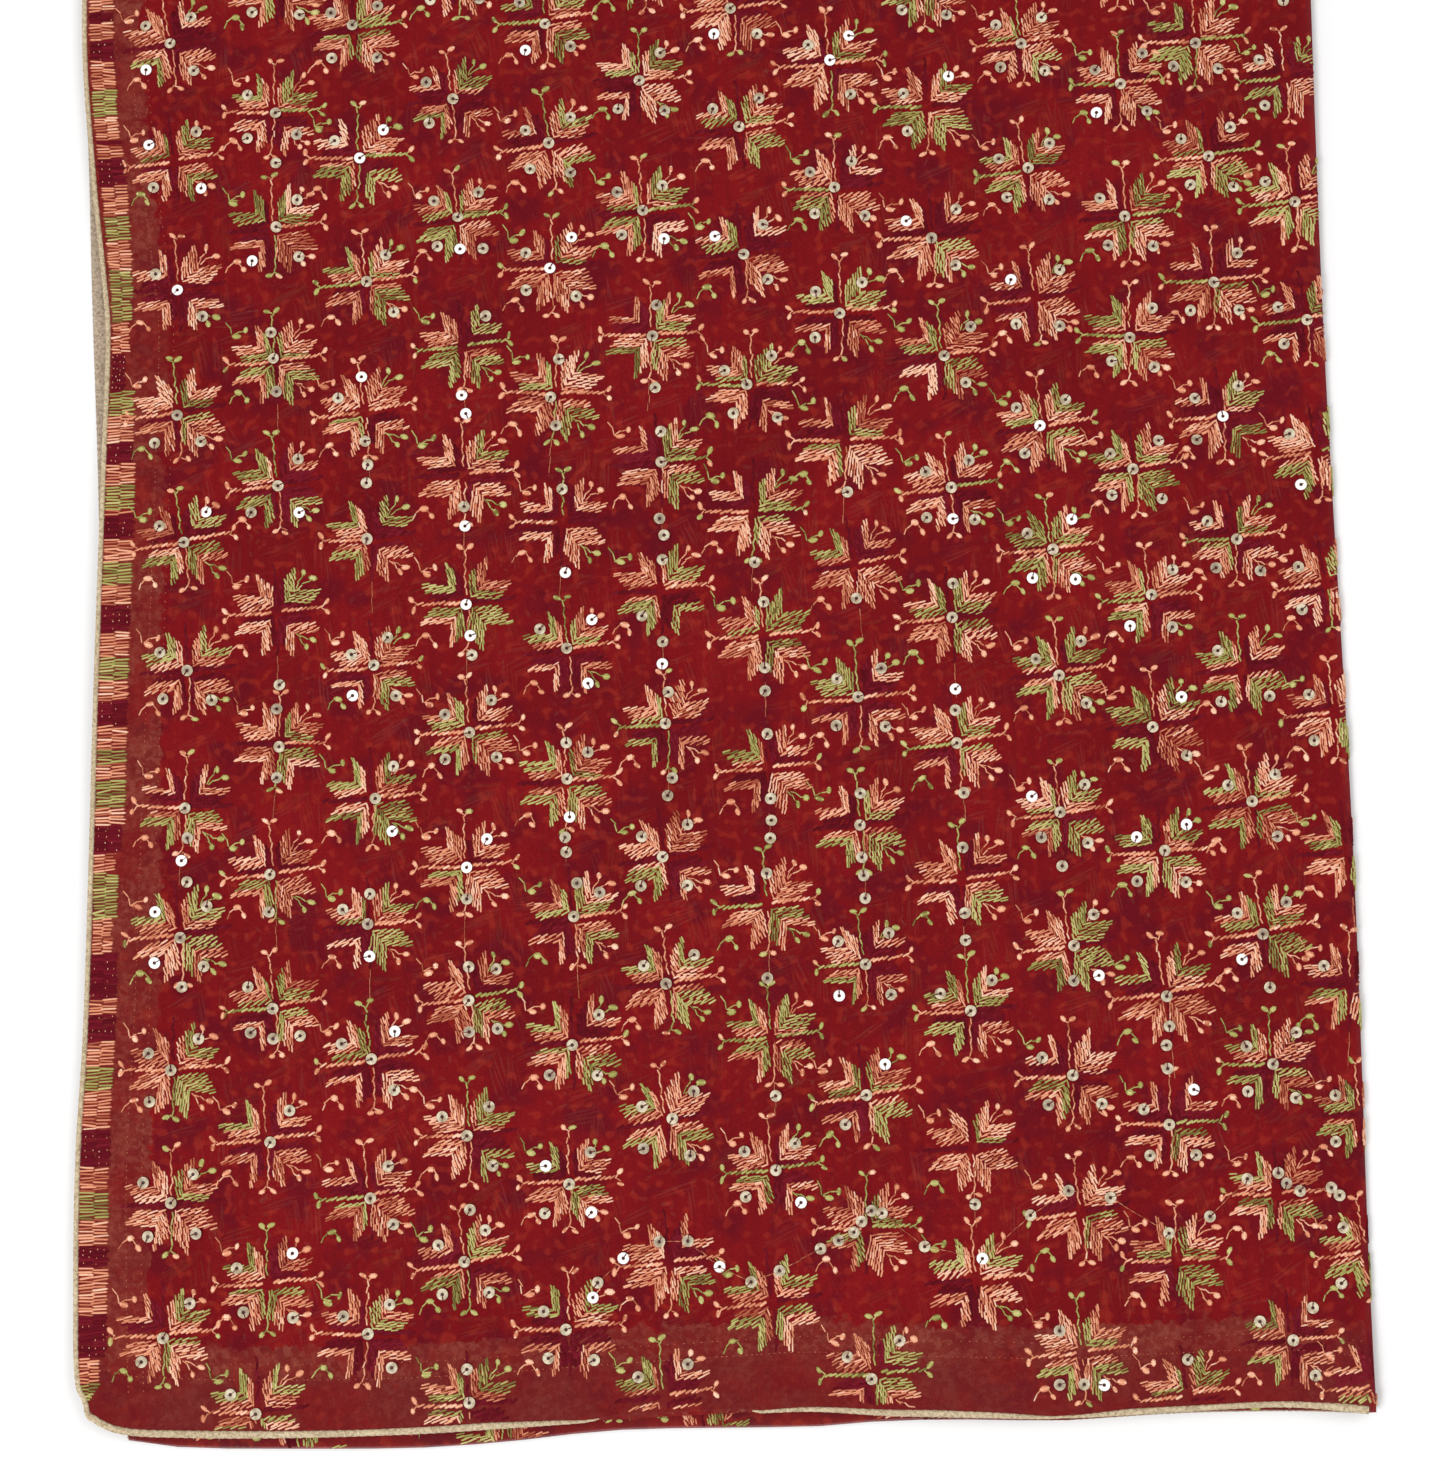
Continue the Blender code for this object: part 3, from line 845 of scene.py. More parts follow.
def offset_route(route, distance):
    """The route moved sideways in plan, with any further columns kept."""
    moved = route.copy()
    moved[:, :3] += side_ways(route) * np.reshape(distance, (-1, 1))
    return moved


def hem_tape_width(x):
    """Width of the near hem's tape as it shows, never quite 0."""
    table = np.array(HEM_TAPE_ROWS)
    width = np.interp((x - LEFT) / MM, table[:, HEM_TAPE_ACROSS], table[:, HEM_TAPE_WIDTH]) * MM
    return np.maximum(width, HEM_TAPE_LEAST)


def upper_route():
    """The middle of the rolled tape and its width: near hem from the fold, open edge, far hem."""
    outer = SEAM_GAP + ROLLED_WIDTH
    routes = []
    for end, edge in ((NEAR, upper_near), (FAR, upper_far)):
        start = float(upper_side(end))
        stop = float(fold_center(end)[0])
        x = even_steps(start, stop, HEM_ROUTE_STEP)
        width = hem_tape_width(x) if end == NEAR else np.full_like(x, ROLLED_WIDTH)
        tucked = 1 - smooth_step(width / HEM_TAPE_NARROW)
        z = solid_height(x, edge(x)) - HEM_TAPE_DROP * tucked
        reach = outer - width / 2 - HEM_TAPE_DRAWN_IN * tucked
        route = np.stack([x, edge(x), z, width], axis=-1)
        if end == NEAR:
            route = route[::-1]
            reach = reach[::-1]
        routes.append(offset_route(route, reach))
    stations = row_stations()
    x = upper_side(NEAR + stations)
    y = leaf_y(stations, x, upper_near, upper_far)
    side_edge = np.stack([x, y, solid_height(x, y), np.full_like(x, SIDE_TAPE_WIDTH)], axis=-1)
    near, far = routes
    side = offset_route(side_edge, outer - SIDE_TAPE_WIDTH / 2)
    first = corner_arc(side_edge[0], near[-1], side[0])
    second = corner_arc(side_edge[-1], side[-1], far[0])
    return np.concatenate([near, first, side, second, far])


def corner_arc(corner, start, end):
    """Rows between start and end, on an arc in plan about a corner."""
    share = np.linspace(0, 1, 6)[1:-1]
    start_way = start[:2] - corner[:2]
    end_way = end[:2] - corner[:2]
    start_turn = math.atan2(start_way[1], start_way[0])
    sweep = math.remainder(math.atan2(end_way[1], end_way[0]) - start_turn, 2 * math.pi)
    turns = start_turn + sweep * share
    reach = math.hypot(*start_way) + (math.hypot(*end_way) - math.hypot(*start_way)) * share
    rows = start + (end - start) * share[:, None]
    rows[:, 0] = corner[0] + reach * np.cos(turns)
    rows[:, 1] = corner[1] + reach * np.sin(turns)
    return rows


def make_tape_upper():
    rows = resample(upper_route(), *ROLLED_STEPS)
    width = rows[:, 3:]
    route = cut_corner(rows[:, :3], CORNER_TAPE_DEPTH, width[:, 0] / 2)
    height = ROLLED_HEIGHT * np.sqrt(np.minimum(1.0, width / ROLLED_WIDTH))
    return swept_tape("tape_rolled_edge", route, width, height, ROLLED_POWER, ROLLED_STRAND, ROLLED_TAPE)


def flat_tape(name, x, y, offset, width):
    """A flat tape on the floor whose middle runs beside a line in plan, by the offset."""
    line = np.stack([x, y, np.full_like(x, FLAT_HEIGHT / 2)], axis=-1)
    route = resample(offset_route(line, offset), *FLAT_STEPS)
    return swept_tape(name, route, width, FLAT_HEIGHT, FLAT_POWER, FLAT_STRAND, FLAT_TAPE)


def make_tape_lower_side():
    y = NEAR + even_steps(TUCK_FLAT + TUCK_RAMP, LENGTH, SIDE_ROUTE_STEP)
    return flat_tape("tape_flat_side", lower_side(y), y, SEAM_GAP + FLAT_WIDTH / 2, FLAT_WIDTH)


def make_tape_lower_near_end():
    x = even_steps(float(lower_side(NEAR)), float(fold_center(NEAR)[0]), HEM_ROUTE_STEP)
    shown = smooth_step((x - TUCKED_SHOWS_FROM) / TUCKED_SHOWS_REACH)
    inset = TUCKED_INSET - (TUCKED_INSET + TUCKED_PAST_EDGE) * shown
    y = lower_near(x) + inset + TUCKED_WIDTH / 2
    return flat_tape("tape_flat_near_end", x, y, 0, TUCKED_WIDTH)


def make_tape_lower_far_end():
    x = even_steps(float(lower_side(FAR)), float(fold_center(FAR)[0]), HEM_ROUTE_STEP)
    return flat_tape("tape_flat_far_end", x, lower_far(x), SEAM_GAP + FLAT_WIDTH / 2, FLAT_WIDTH)


# Stitches: each is one small grain of yarn, kept as a row of numbers

STITCH_X, STITCH_Y, STITCH_WAY_X, STITCH_WAY_Y, STITCH_WIDTH, STITCH_COLOR, STITCH_TONE = range(7)
PEACH_THREAD, GREEN_THREAD, MAROON_THREAD = range(3)


class Stitches:
    """A growing list of stitches, as arrays of rows."""

    def __init__(self):
        self.parts = []

    def add(self, x, y, way_x, way_y, width, color, tone):
        columns = np.broadcast_arrays(x, y, way_x, way_y, width, color, tone)
        self.parts.append(np.stack([np.ravel(column) for column in columns], axis=-1).astype(float))

    def table(self):
        return np.concatenate(self.parts)


# How high over the middle of the cloth's wall the embroidery's stitches begin
STITCH_LIFT = 0.05 * MM
# The two forms of a stitch, both open beneath. Points are shares of its length, of half its width and of
# its height, with how much lighter than the stitch each one is: painted shade at the sides and tips, and on
# the grain painted light along its crest.
POINT_ALONG, POINT_ASIDE, POINT_UP, POINT_PAINTED_LIGHT = range(4)
GRAIN_POINTS = (
    (-0.5, 0, 0.15, -0.45),
    (-0.37, 1, 0, -0.30),
    (-0.37, 0, 1, 0.12),
    (-0.37, -1, 0, -0.30),
    (0.37, 1, 0, -0.30),
    (0.37, 0, 1, 0.12),
    (0.37, -1, 0, -0.30),
    (0.5, 0, 0.15, -0.45),
)
GRAIN_FACES = ((0, 2, 1), (0, 3, 2), (1, 2, 5), (1, 5, 4), (2, 3, 6), (2, 6, 5), (7, 4, 5), (7, 5, 6))
GRAIN = (GRAIN_POINTS, GRAIN_FACES)
SLIVER_POINTS = (
    (-0.5, 0, 1, 0.0),
    (0.5, 0, 1, 0.0),
    (0, 1, 0, -0.2),
    (0, -1, 0, -0.2),
)
SLIVER_FACES = ((0, 1, 2), (1, 0, 3))
SLIVER = (SLIVER_POINTS, SLIVER_FACES)


def stitch_object(name, table, form, place, lift, height, material):
    """One mesh with every stitch of a table in the given form."""
    form_points, faces = form
    way = table[:, [STITCH_WAY_X, STITCH_WAY_Y]]
    size = np.linalg.norm(way, axis=1)[:, None]
    side = np.stack([-way[:, 1], way[:, 0]], axis=-1) / size * table[:, [STITCH_WIDTH]] / 2
    middle = table[:, [STITCH_X, STITCH_Y]]
    spots = []
    for point in form_points:
        flat = middle + way * point[POINT_ALONG] + side * point[POINT_ASIDE]
        spots.append(place(flat[:, 0], flat[:, 1], lift + height * point[POINT_UP]))
    points = np.stack(spots, axis=1).reshape(-1, 3)
    starts = np.arange(len(table)) * len(form_points)
    every = (np.array(faces)[None] + starts[:, None, None]).reshape(-1, 3)
    made = mesh_object(name, points, every, material)
    # painted shade and light of each point of the form, added to the stitch's own tone
    lighter = np.array([point[POINT_PAINTED_LIGHT] for point in form_points])
    point_values(made, "tone", table[:, [STITCH_TONE]] + lighter[None, :])
    return made


# The flower, charted in chart steps from its middle: for each of its four leaves, the bend and the two tips
# of its innermost and outermost chevron

CHART = MM / 2.55
BEND_IN, BEND_OUT, LEVEL_IN, LEVEL_OUT, UPRIGHT_IN, UPRIGHT_OUT = range(6)
LEAVES = (
    ((4, 5.5), (16.5, 20), (30, 3), (44, 21), (2.5, 27), (17, 45)),
    ((3.5, -7), (16.5, -21.5), (31, -4.5), (44, -22), (0.5, -31), (15.5, -48)),
    ((-6, -7), (-15, -20), (-34, -8), (-46, -22), (-3, -31), (-16.5, -46)),
    ((-6, 4.5), (-18, 15.5), (-34, 0.5), (-47, 16.5), (-7.5, 26), (-21.5, 39)),
)
CHEVRONS = 7
# Stitches in an arm of a chevron, where the camera is close, far off and out of sight
CLOSE_DETAIL, FAR_DETAIL, HIDDEN_DETAIL = 4, 2, 1
YARN = 1.7
MAROON_YARN = 2.8
STALK = 1.35

# Stems in chart steps: start, end, and whether it is a thick twisted cord
STEM_START, STEM_END, STEM_IS_CORD = range(3)
STEMS = (
    ((5, 1), (46, 4), True),
    ((-7, -2), (-49, -3), True),
    ((-2, 7), (-4, 50), False),
    ((1, -8), (0, -46), False),
)
# Pairs of small leaves at the ends of the stems, and of thin stems that leave the
# flower's leaves: middle, length, width, direction in degrees
BUD_X, BUD_Y, BUD_LENGTH, BUD_WIDTH, BUD_TURN = range(5)
STEM_BUDS = (
    ((51, 9, 8.5, 4.0, 62), (51, -1, 7.5, 3.8, -48)),
    ((-54, 2, 8.5, 4.0, 128), (-53.5, -8, 8.0, 4.0, 70)),
    ((-9, 54, 8.0, 4.2, 150), (1, 55, 8.5, 4.2, 25)),
    ((-5.5, -50, 8.0, 4.0, 30), (5, -50, 8.0, 4.0, -30)),
)
# Thin stems of two lengths each; the last two come from the flowers at the left
SPRIGS = (
    (((18, 24), (25, 35)), ((20, 24), (31, 31))),
    (((19, -24), (26, -34)), ((21, -25), (31, -30))),
    (((-51, -45), (-43, -34.5)), ((-43, -34.5), (-36, -35))),
    (((-52, 44), (-46, 30)), ((-46, 30), (-38, 27.5))),
)
SPRIG_BUDS = (
    ((26.5, 40, 7.5, 4.2, 95), (36.5, 33, 9.5, 5.0, -5)),
    ((29.5, -38.5, 7.5, 4.2, -70), (37, -31.5, 9.0, 5.0, -10)),
    ((-39.5, -34.5, 9.5, 5.0, 0), (-32.5, -43, 7.5, 4.2, -60)),
    ((-32, 34.5, 7.5, 4.2, 75), (-41, 27.5, 9.5, 5.0, -8)),
)
SPRIG_CHANCE = 0.86

# Colours of a leaf, from its inner chevrons to its outer ones, with how often each comes
LEAF_THREADS = (
    (0.23, (PEACH_THREAD, GREEN_THREAD)),
    (0.23, (GREEN_THREAD, PEACH_THREAD)),
    (0.18, (PEACH_THREAD, PEACH_THREAD)),
    (0.26, (MAROON_THREAD, PEACH_THREAD)),
    (0.04, (GREEN_THREAD, GREEN_THREAD)),
    (0.06, (MAROON_THREAD, GREEN_THREAD)),
)
STEM_THREADS = (PEACH_THREAD, GREEN_THREAD, MAROON_THREAD)
STEM_THREAD_CHANCES = (0.50, 0.17, 0.33)
BUD_THREADS = (PEACH_THREAD, GREEN_THREAD)
BUD_THREAD_CHANCES = (0.64, 0.36)

# The columns of flowers, in millimetres from the lower left corner: how far along the
# first flower is, and how far across the column is at its start, middle and top
COLUMN_FIRST, COLUMN_START, COLUMN_MIDDLE, COLUMN_TOP = range(4)
FLOWER_COLUMNS = (
    (43.5, 34.0, 44.0, 38.0),
    (14.0, 71.5, 80.5, 79.0),
    (44.0, 113.0, 118.0, 113.5),
    (16.5, 151.5, 155.5, 152.0),
    (47.5, 190.5, 195.5, 189.5),
    (18.5, 228.0, 233.0, 228.0),
    (51.0, 269.5, 272.5, 266.0),
    (26.5, 307.0, 310.0, 304.0),
    (58.5, 349.0, 347.5, 342.5),
    (32.5, 388.5, 387.0, 382.0),
    (13.0, 426.5, 425.0, 418.5),
    (35.0, 468.5, 460.5, 453.5),
    (15.5, 498.5, 495.5, 487.0),
)
COLUMN_REACHES = (0, 280, 560)
FLOWER_PITCH = 51.85
# How far the lower leaf's flowers are moved against the upper leaf's, across and along,
# in millimetres
LOWER_SHIFT = (14, -20)
# How far inside the cut corner's line the flowers' stitches stop
FLOWER_CORNER_MARGIN = 3 * MM

# Where sequins hang on upright threads between the flowers rather than on the leaves:
# range across and along, in millimetres
THREADED_ACROSS = (60, 370)
THREADED_ALONG = (190, 440)


def lerp(start, end, share):
    start = np.array(start, dtype=float)
    end = np.array(end, dtype=float)
    return start + (end - start) * share


def arm_stitches(stitches, start, tip, count, shift, tilt, color, light, random):
    """One arm of a chevron: a row of grains, each tilted across the row."""
    heading = math.atan2(tip[1] - start[1], tip[0] - start[0])
    size = math.dist(start, tip) / count * 1.24
    for step in range(count):
        middle = lerp(start, tip, (step + 0.5 + shift) / count) + random.normal(0, 0.35, 2)
        turn = heading + tilt + random.normal(0, 0.07)
        tone = np.clip(random.normal(light, 0.24), 0, 1)
        width = (MAROON_YARN if color == MAROON_THREAD else YARN) * random.uniform(0.85, 1.15)
        stitches.append((*middle, size * math.cos(turn), size * math.sin(turn), width, color, tone))


def stem_stitches(stitches, start, end, is_cord, width, color, random):
    """A cord of grains that all lean across it, or a thin thread that wavers."""
    pitch = 5.2 if is_cord else 6.5
    count = max(1, round(math.dist(start, end) / pitch))
    heading = math.atan2(end[1] - start[1], end[0] - start[0])
    for step in range(count):
        share = (step + 0.5) / count
        middle = lerp(start, end, share) + random.normal(0, 0.45, 2)
        lean = (0.42 if is_cord else 0.22 * (-1) ** step) + random.normal(0, 0.06)
        size = math.dist(start, end) / count * (1.6 if is_cord else 1.2)
        tone = np.clip(random.normal(0.5, 0.2), 0, 1)
        narrow = width * (1.15 - 0.45 * share if is_cord else 1.0)
        way = (size * math.cos(heading + lean), size * math.sin(heading + lean))
        stitches.append((*middle, *way, narrow, color, tone))


def bud_stitches(stitches, bud, color, random, lines):
    """A small pointed leaf: a long narrow grain, and close by a short wide one over it."""
    turn = math.radians(bud[BUD_TURN]) + random.normal(0, 0.25)
    size = bud[BUD_LENGTH] * random.uniform(0.85, 1.15)
    width = bud[BUD_WIDTH] * random.uniform(0.85, 1.15)
    middle = (bud[BUD_X], bud[BUD_Y]) + random.normal(0, 0.8, 2)
    for long, wide in ((1.0, 0.72), (0.66, 1.08))[:lines]:
        way = (size * long * math.cos(turn), size * long * math.sin(turn))
        tone = np.clip(random.normal(0.62, 0.2), 0, 1)
        stitches.append((*middle, *way, width * wide, color, tone))


def leaf_stitches(stitches, leaf, detail, random):
    """Nested chevrons, each one an arm that is level and one that is upright."""
    pick = random.choice(len(LEAF_THREADS), p=[row[0] for row in LEAF_THREADS])
    inner, outer = LEAF_THREADS[pick][1]
    change = random.integers(2, 5)
    own = np.array(leaf, dtype=float) + random.normal(0, 0.9, (6, 2))
    level_tilt = random.normal(0.34, 0.07)
    upright_tilt = random.normal(0.16, 0.08)
    inner_light, outer_light = random.normal(0.55, 0.17, 2)
    for index in range(CHEVRONS):
        share = index / (CHEVRONS - 1)
        color, light = (inner, inner_light) if index < change else (outer, outer_light)
        bend = lerp(own[BEND_IN], own[BEND_OUT], share)
        level = lerp(own[LEVEL_IN], own[LEVEL_OUT], share)
        upright = lerp(own[UPRIGHT_IN], own[UPRIGHT_OUT], share)
        shift = 0.22 if index % 2 else -0.05
        arm_stitches(stitches, bend, level, detail, shift, level_tilt, color, light, random)
        arm_stitches(stitches, bend, upright, detail, shift, upright_tilt, color, light, random)


def flower_stitches(random, detail):
    """Stitches of one flower in chart steps. detail is how many an arm of a chevron has."""
    stitches = []
    lines = 2 if detail == CLOSE_DETAIL else 1
    for leaf in LEAVES:
        leaf_stitches(stitches, leaf, detail, random)
    for stem, buds in zip(STEMS, STEM_BUDS):
        color = random.choice(STEM_THREADS, p=STEM_THREAD_CHANCES)
        width = (2.6 if stem[STEM_IS_CORD] else 1.6) * (1.5 if color == MAROON_THREAD else 1.0)
        stem_stitches(stitches, stem[STEM_START], stem[STEM_END], stem[STEM_IS_CORD], width, color, random)
        if color != MAROON_THREAD:
            other = random.choice(BUD_THREADS, p=BUD_THREAD_CHANCES)
            for bud in buds:
                bud_stitches(stitches, bud, other if random.random() < 0.4 else color, random, lines)
                if detail > HIDDEN_DETAIL:
                    stem_stitches(stitches, stem[STEM_END], bud[:BUD_LENGTH], False, STALK, color, random)
    for sprig, buds in zip(SPRIGS, SPRIG_BUDS):
        if random.random() > SPRIG_CHANCE:
            continue
        color = random.choice(BUD_THREADS, p=BUD_THREAD_CHANCES)
        if detail > HIDDEN_DETAIL:
            for (start, end), bud in zip(sprig, buds):
                stem_stitches(stitches, start, end, False, STALK, color, random)
                stem_stitches(stitches, end, bud[:BUD_LENGTH], False, STALK, color, random)
        for bud in buds:
            bud_stitches(stitches, bud, color, random, lines)
    return np.array(stitches)


def link_stitches(random):
    """The thin upright thread from a flower to the one below it, in chart steps."""
    along = np.arange(-51, -84, -8.5)
    table = np.zeros((len(along), STITCH_TONE + 1))
    table[:, STITCH_X] = random.normal(0, 0.35, len(along))
    table[:, STITCH_Y] = along
    table[:, STITCH_WAY_Y] = -9.5
    table[:, STITCH_WIDTH] = 0.9
    table[:, STITCH_COLOR] = PEACH_THREAD
    table[:, STITCH_TONE] = random.uniform(0.0, 0.35, len(along))
    return table


def flower_places(random, shift_across, shift_along):
    """Middles of all flowers of one leaf of the cloth, in metres."""
    places = []
    for column in FLOWER_COLUMNS:
        along = column[COLUMN_FIRST] + shift_along
        while along < LENGTH / MM - 12:
            across = np.interp(along, COLUMN_REACHES, column[COLUMN_START:]) + shift_across
            x = LEFT + (across + random.normal(0, 0.8)) * MM
            y = NEAR + (along + random.normal(0, 1.2)) * MM
            places.append((x, y))
            along += FLOWER_PITCH
    return places


def placed(stitches, place, random):
    """One flower's stitches turned a little, scaled to metres and moved to its place."""
    turn = random.normal(0, 0.05)
    scale = CHART * random.normal(1.0, 0.03)
    cos, sin = math.cos(turn) * scale, math.sin(turn) * scale
    table = stitches.copy()
    for first, second in ((STITCH_X, STITCH_Y), (STITCH_WAY_X, STITCH_WAY_Y)):
        table[:, first] = stitches[:, first] * cos - stitches[:, second] * sin
        table[:, second] = stitches[:, first] * sin + stitches[:, second] * cos
    table[:, STITCH_X] += place[0]
    table[:, STITCH_Y] += place[1]
    table[:, STITCH_WIDTH] *= scale
    return table


def inside_leaf(table, side, near, far, edge_margin, past_fold):
    """Which stitches lie wholly on the cloth."""
    x = table[:, STITCH_X]
    y = table[:, STITCH_Y]
    reach_x = np.abs(table[:, STITCH_WAY_X]) / 2 + edge_margin
    reach_y = np.abs(table[:, STITCH_WAY_Y]) / 2 + edge_margin
    return (
        (x - reach_x > side(y))
        & (y - reach_y > near(x))
        & (y + reach_y < far(x))
        & (x + reach_x < fold_center(y)[0] + past_fold)
        & (inside_corner(x, y) > FLOWER_CORNER_MARGIN)
    )


def thread_pieces(name, table, form, place, lift, height):
    """One piece for each colour of thread; the maroon lies flatter."""
    made = []
    for color, material, word, share in (
        (PEACH_THREAD, PEACH, "peach", 1.0),
        (GREEN_THREAD, GREEN, "green", 1.0),
        (MAROON_THREAD, MAROON, "maroon", 0.5),
    ):
        rows = table[table[:, STITCH_COLOR] == color]
        if len(rows) == 0:
            continue
        piece = stitch_object(f"{name}_{word}", rows, form, place, lift, height * share, material)
        made.append(piece)
    return made


def is_threaded(place, random):
    """Whether a flower's sequins hang on an upright thread through it."""
    across = (place[0] - LEFT) / MM
    along = (place[1] - NEAR) / MM
    inside = THREADED_ACROSS[0] < across < THREADED_ACROSS[1]
    inside &= THREADED_ALONG[0] < along < THREADED_ALONG[1]
    return random.random() < (0.75 if inside else 0.08)


def make_flowers():
    random = np.random.default_rng(11)
    shown = []
    distant = []
    places = flower_places(random, 0, 0)
    threaded = [is_threaded(place, random) for place in places]
    for place, has_thread in zip(places, threaded):
        near = place[1] < NEAR + SHOWN_REACH
        stitches = flower_stitches(random, CLOSE_DETAIL if near else FAR_DETAIL)
        if has_thread:
            stitches = np.concatenate([stitches, link_stitches(random)])
        table = placed(stitches, place, random)
        (shown if near else distant).append(table)
    shown = np.concatenate(shown)
    distant = np.concatenate(distant)
    shown = shown[inside_leaf(shown, upper_side, upper_near, upper_far, -0.3 * MM, 4 * MM)]
    distant = distant[inside_leaf(distant, upper_side, upper_near, upper_far, 0.3 * MM, 4 * MM)]
    in_front = shown[:, STITCH_Y] < NEAR + SHOWN_REACH / 2
    pieces = thread_pieces("flowers_front", shown[in_front], GRAIN, on_upper, STITCH_LIFT, 0.55 * MM)
    pieces += thread_pieces("flowers_middle", shown[~in_front], GRAIN, on_upper, STITCH_LIFT, 0.55 * MM)
    pieces += thread_pieces("flowers_far", distant, SLIVER, on_upper, STITCH_LIFT, 0.4 * MM)

    hem = []
    lower = []
    for place in flower_places(random, *LOWER_SHIFT):
        at_hem = place[1] < NEAR + HEM_SHOWS
        stitches = flower_stitches(random, CLOSE_DETAIL if at_hem else HIDDEN_DETAIL)
        (hem if at_hem else lower).append(placed(stitches, place, random))
    hem = np.concatenate(hem)
    hem = hem[hem[:, STITCH_Y] < upper_near(hem[:, STITCH_X]) + HEM_SHOWS]
    hem = hem[inside_leaf(hem, lower_side, lower_near, lower_far, 0.1 * MM, -1 * MM)]
    lower = np.concatenate(lower)
    lower = lower[inside_leaf(lower, lower_side, lower_near, lower_far, 0.3 * MM, -1 * MM)]
    lower[:, STITCH_WIDTH] *= 1.8
    pieces += thread_pieces("flowers_hem", hem, GRAIN, on_lower, STITCH_LIFT, 0.4 * MM)
    pieces += thread_pieces("flowers_under", lower, SLIVER, on_lower, -0.2 * MM, 0.5 * MM)
    return pieces, places, threaded


# Border band of satin bars beside the open edge, in millimetres: where each block
# begins, its thread, how far it starts inside the cloth's edge, its width

BLOCK_ALONG, BLOCK_THREAD, BLOCK_INSET, BLOCK_WIDTH = range(4)
BORDER_BLOCKS = (
    (17.2, GREEN_THREAD, -1.1, 7.7),
    (27.3, PEACH_THREAD, -1.1, 8.2),
    (36.8, MAROON_THREAD, -1.1, 10.6),
    (52.8, PEACH_THREAD, -1.1, 11.0),
    (71.0, MAROON_THREAD, -1.1, 11.0),
    (79.3, PEACH_THREAD, -1.1, 11.0),
    (89.2, GREEN_THREAD, -1.1, 11.0),
    (99.9, PEACH_THREAD, -1.1, 11.0),
    (109.1, MAROON_THREAD, -1.1, 11.0),
    (123.7, PEACH_THREAD, -1.1, 10.4),
    (138.5, GREEN_THREAD, -1.1, 10.4),
    (147.8, PEACH_THREAD, -1.1, 10.4),
    (157.5, MAROON_THREAD, -1.1, 10.4),
    (167.9, PEACH_THREAD, -1.1, 10.4),
    (174.1, MAROON_THREAD, -1.1, 10.0),
    (191.5, PEACH_THREAD, -0.7, 7.5),
    (205.1, GREEN_THREAD, -0.9, 9.5),
    (223.4, PEACH_THREAD, -1.1, 8.3),
    (230.8, MAROON_THREAD, -1.1, 10.4),
    (241.9, PEACH_THREAD, -1.1, 11.4),
    (248.6, GREEN_THREAD, -1.1, 11.4),
    (260.1, PEACH_THREAD, -1.1, 11.4),
    (266.1, GREEN_THREAD, -1.1, 11.4),
    (271.6, PEACH_THREAD, -1.1, 11.4),
    (280.7, MAROON_THREAD, -1.1, 11.4),
    (291.0, PEACH_THREAD, -1.1, 11.4),
    (298.9, GREEN_THREAD, -1.1, 11.4),
    (308.5, PEACH_THREAD, -1.1, 11.4),
    (318.6, MAROON_THREAD, -1.1, 11.4),
    (329.1, PEACH_THREAD, -1.1, 11.4),
    (337.2, GREEN_THREAD, -1.1, 11.4),
    (346.4, PEACH_THREAD, -1.1, 11.4),
    (355.7, MAROON_THREAD, -1.1, 11.4),
    (365.5, PEACH_THREAD, -1.1, 11.4),
    (367.5, GREEN_THREAD, -1.1, 11.4),
    (377.6, PEACH_THREAD, -1.1, 11.4),
    (386.1, MAROON_THREAD, -1.1, 10.4),
    (394.7, PEACH_THREAD, -1.3, 10.4),
    (405.9, GREEN_THREAD, -1.1, 10.0),
    (415.8, MAROON_THREAD, -0.5, 5.2),
    (431.5, PEACH_THREAD, -0.7, 7.0),
    (444.3, GREEN_THREAD, -0.3, 7.8),
    (453.7, GREEN_THREAD, 0.0, 8.5),
    (465.3, PEACH_THREAD, 0.3, 9.0),
    (478.1, GREEN_THREAD, 0.5, 9.6),
    (488.4, PEACH_THREAD, 0.7, 10.0),
    (500.9, MAROON_THREAD, 0.1, 10.4),
    (512.1, PEACH_THREAD, 0.1, 10.0),
    (518.0, MAROON_THREAD, 0.1, 10.0),
    (519.7, PEACH_THREAD, -0.1, 9.6),
    (529.7, GREEN_THREAD, -0.1, 9.6),
    (541.0, PEACH_THREAD, -0.1, 9.6),
    (552.7, MAROON_THREAD, -0.1, 9.6),
    (561.5, PEACH_THREAD, -0.1, 9.6),
    (569.1, MAROON_THREAD, -0.1, 9.6),
    (573.7, PEACH_THREAD, -0.1, 9.6),
)
BORDER_REPEAT = (PEACH_THREAD, GREEN_THREAD, PEACH_THREAD, MAROON_THREAD)
BORDER_REPEAT_LENGTHS = (10.0, 9.5, 8.5, 12.5)
BORDER_REPEAT_INSET = -0.9
BORDER_REPEAT_WIDTH = 10.4
BAR_PITCH = 1.25
BORDER_START = 586.0
BORDER_END = 2284
# Light threads that cross the maroon blocks as dots: rows of dots in a block
DOT_COLUMNS = 4
DOT_PITCH = 2.6
# The lowest bars stop short of the cut corner's line, and end on the mitre: a point on
# it, across and along from x = LEFT, y = NEAR, and its steps across for each one along
CORNER_MARGIN = 2.2 * MM
MITRE_START = (3.9 * MM, 16.8 * MM)
MITRE_SLOPE = 0.72


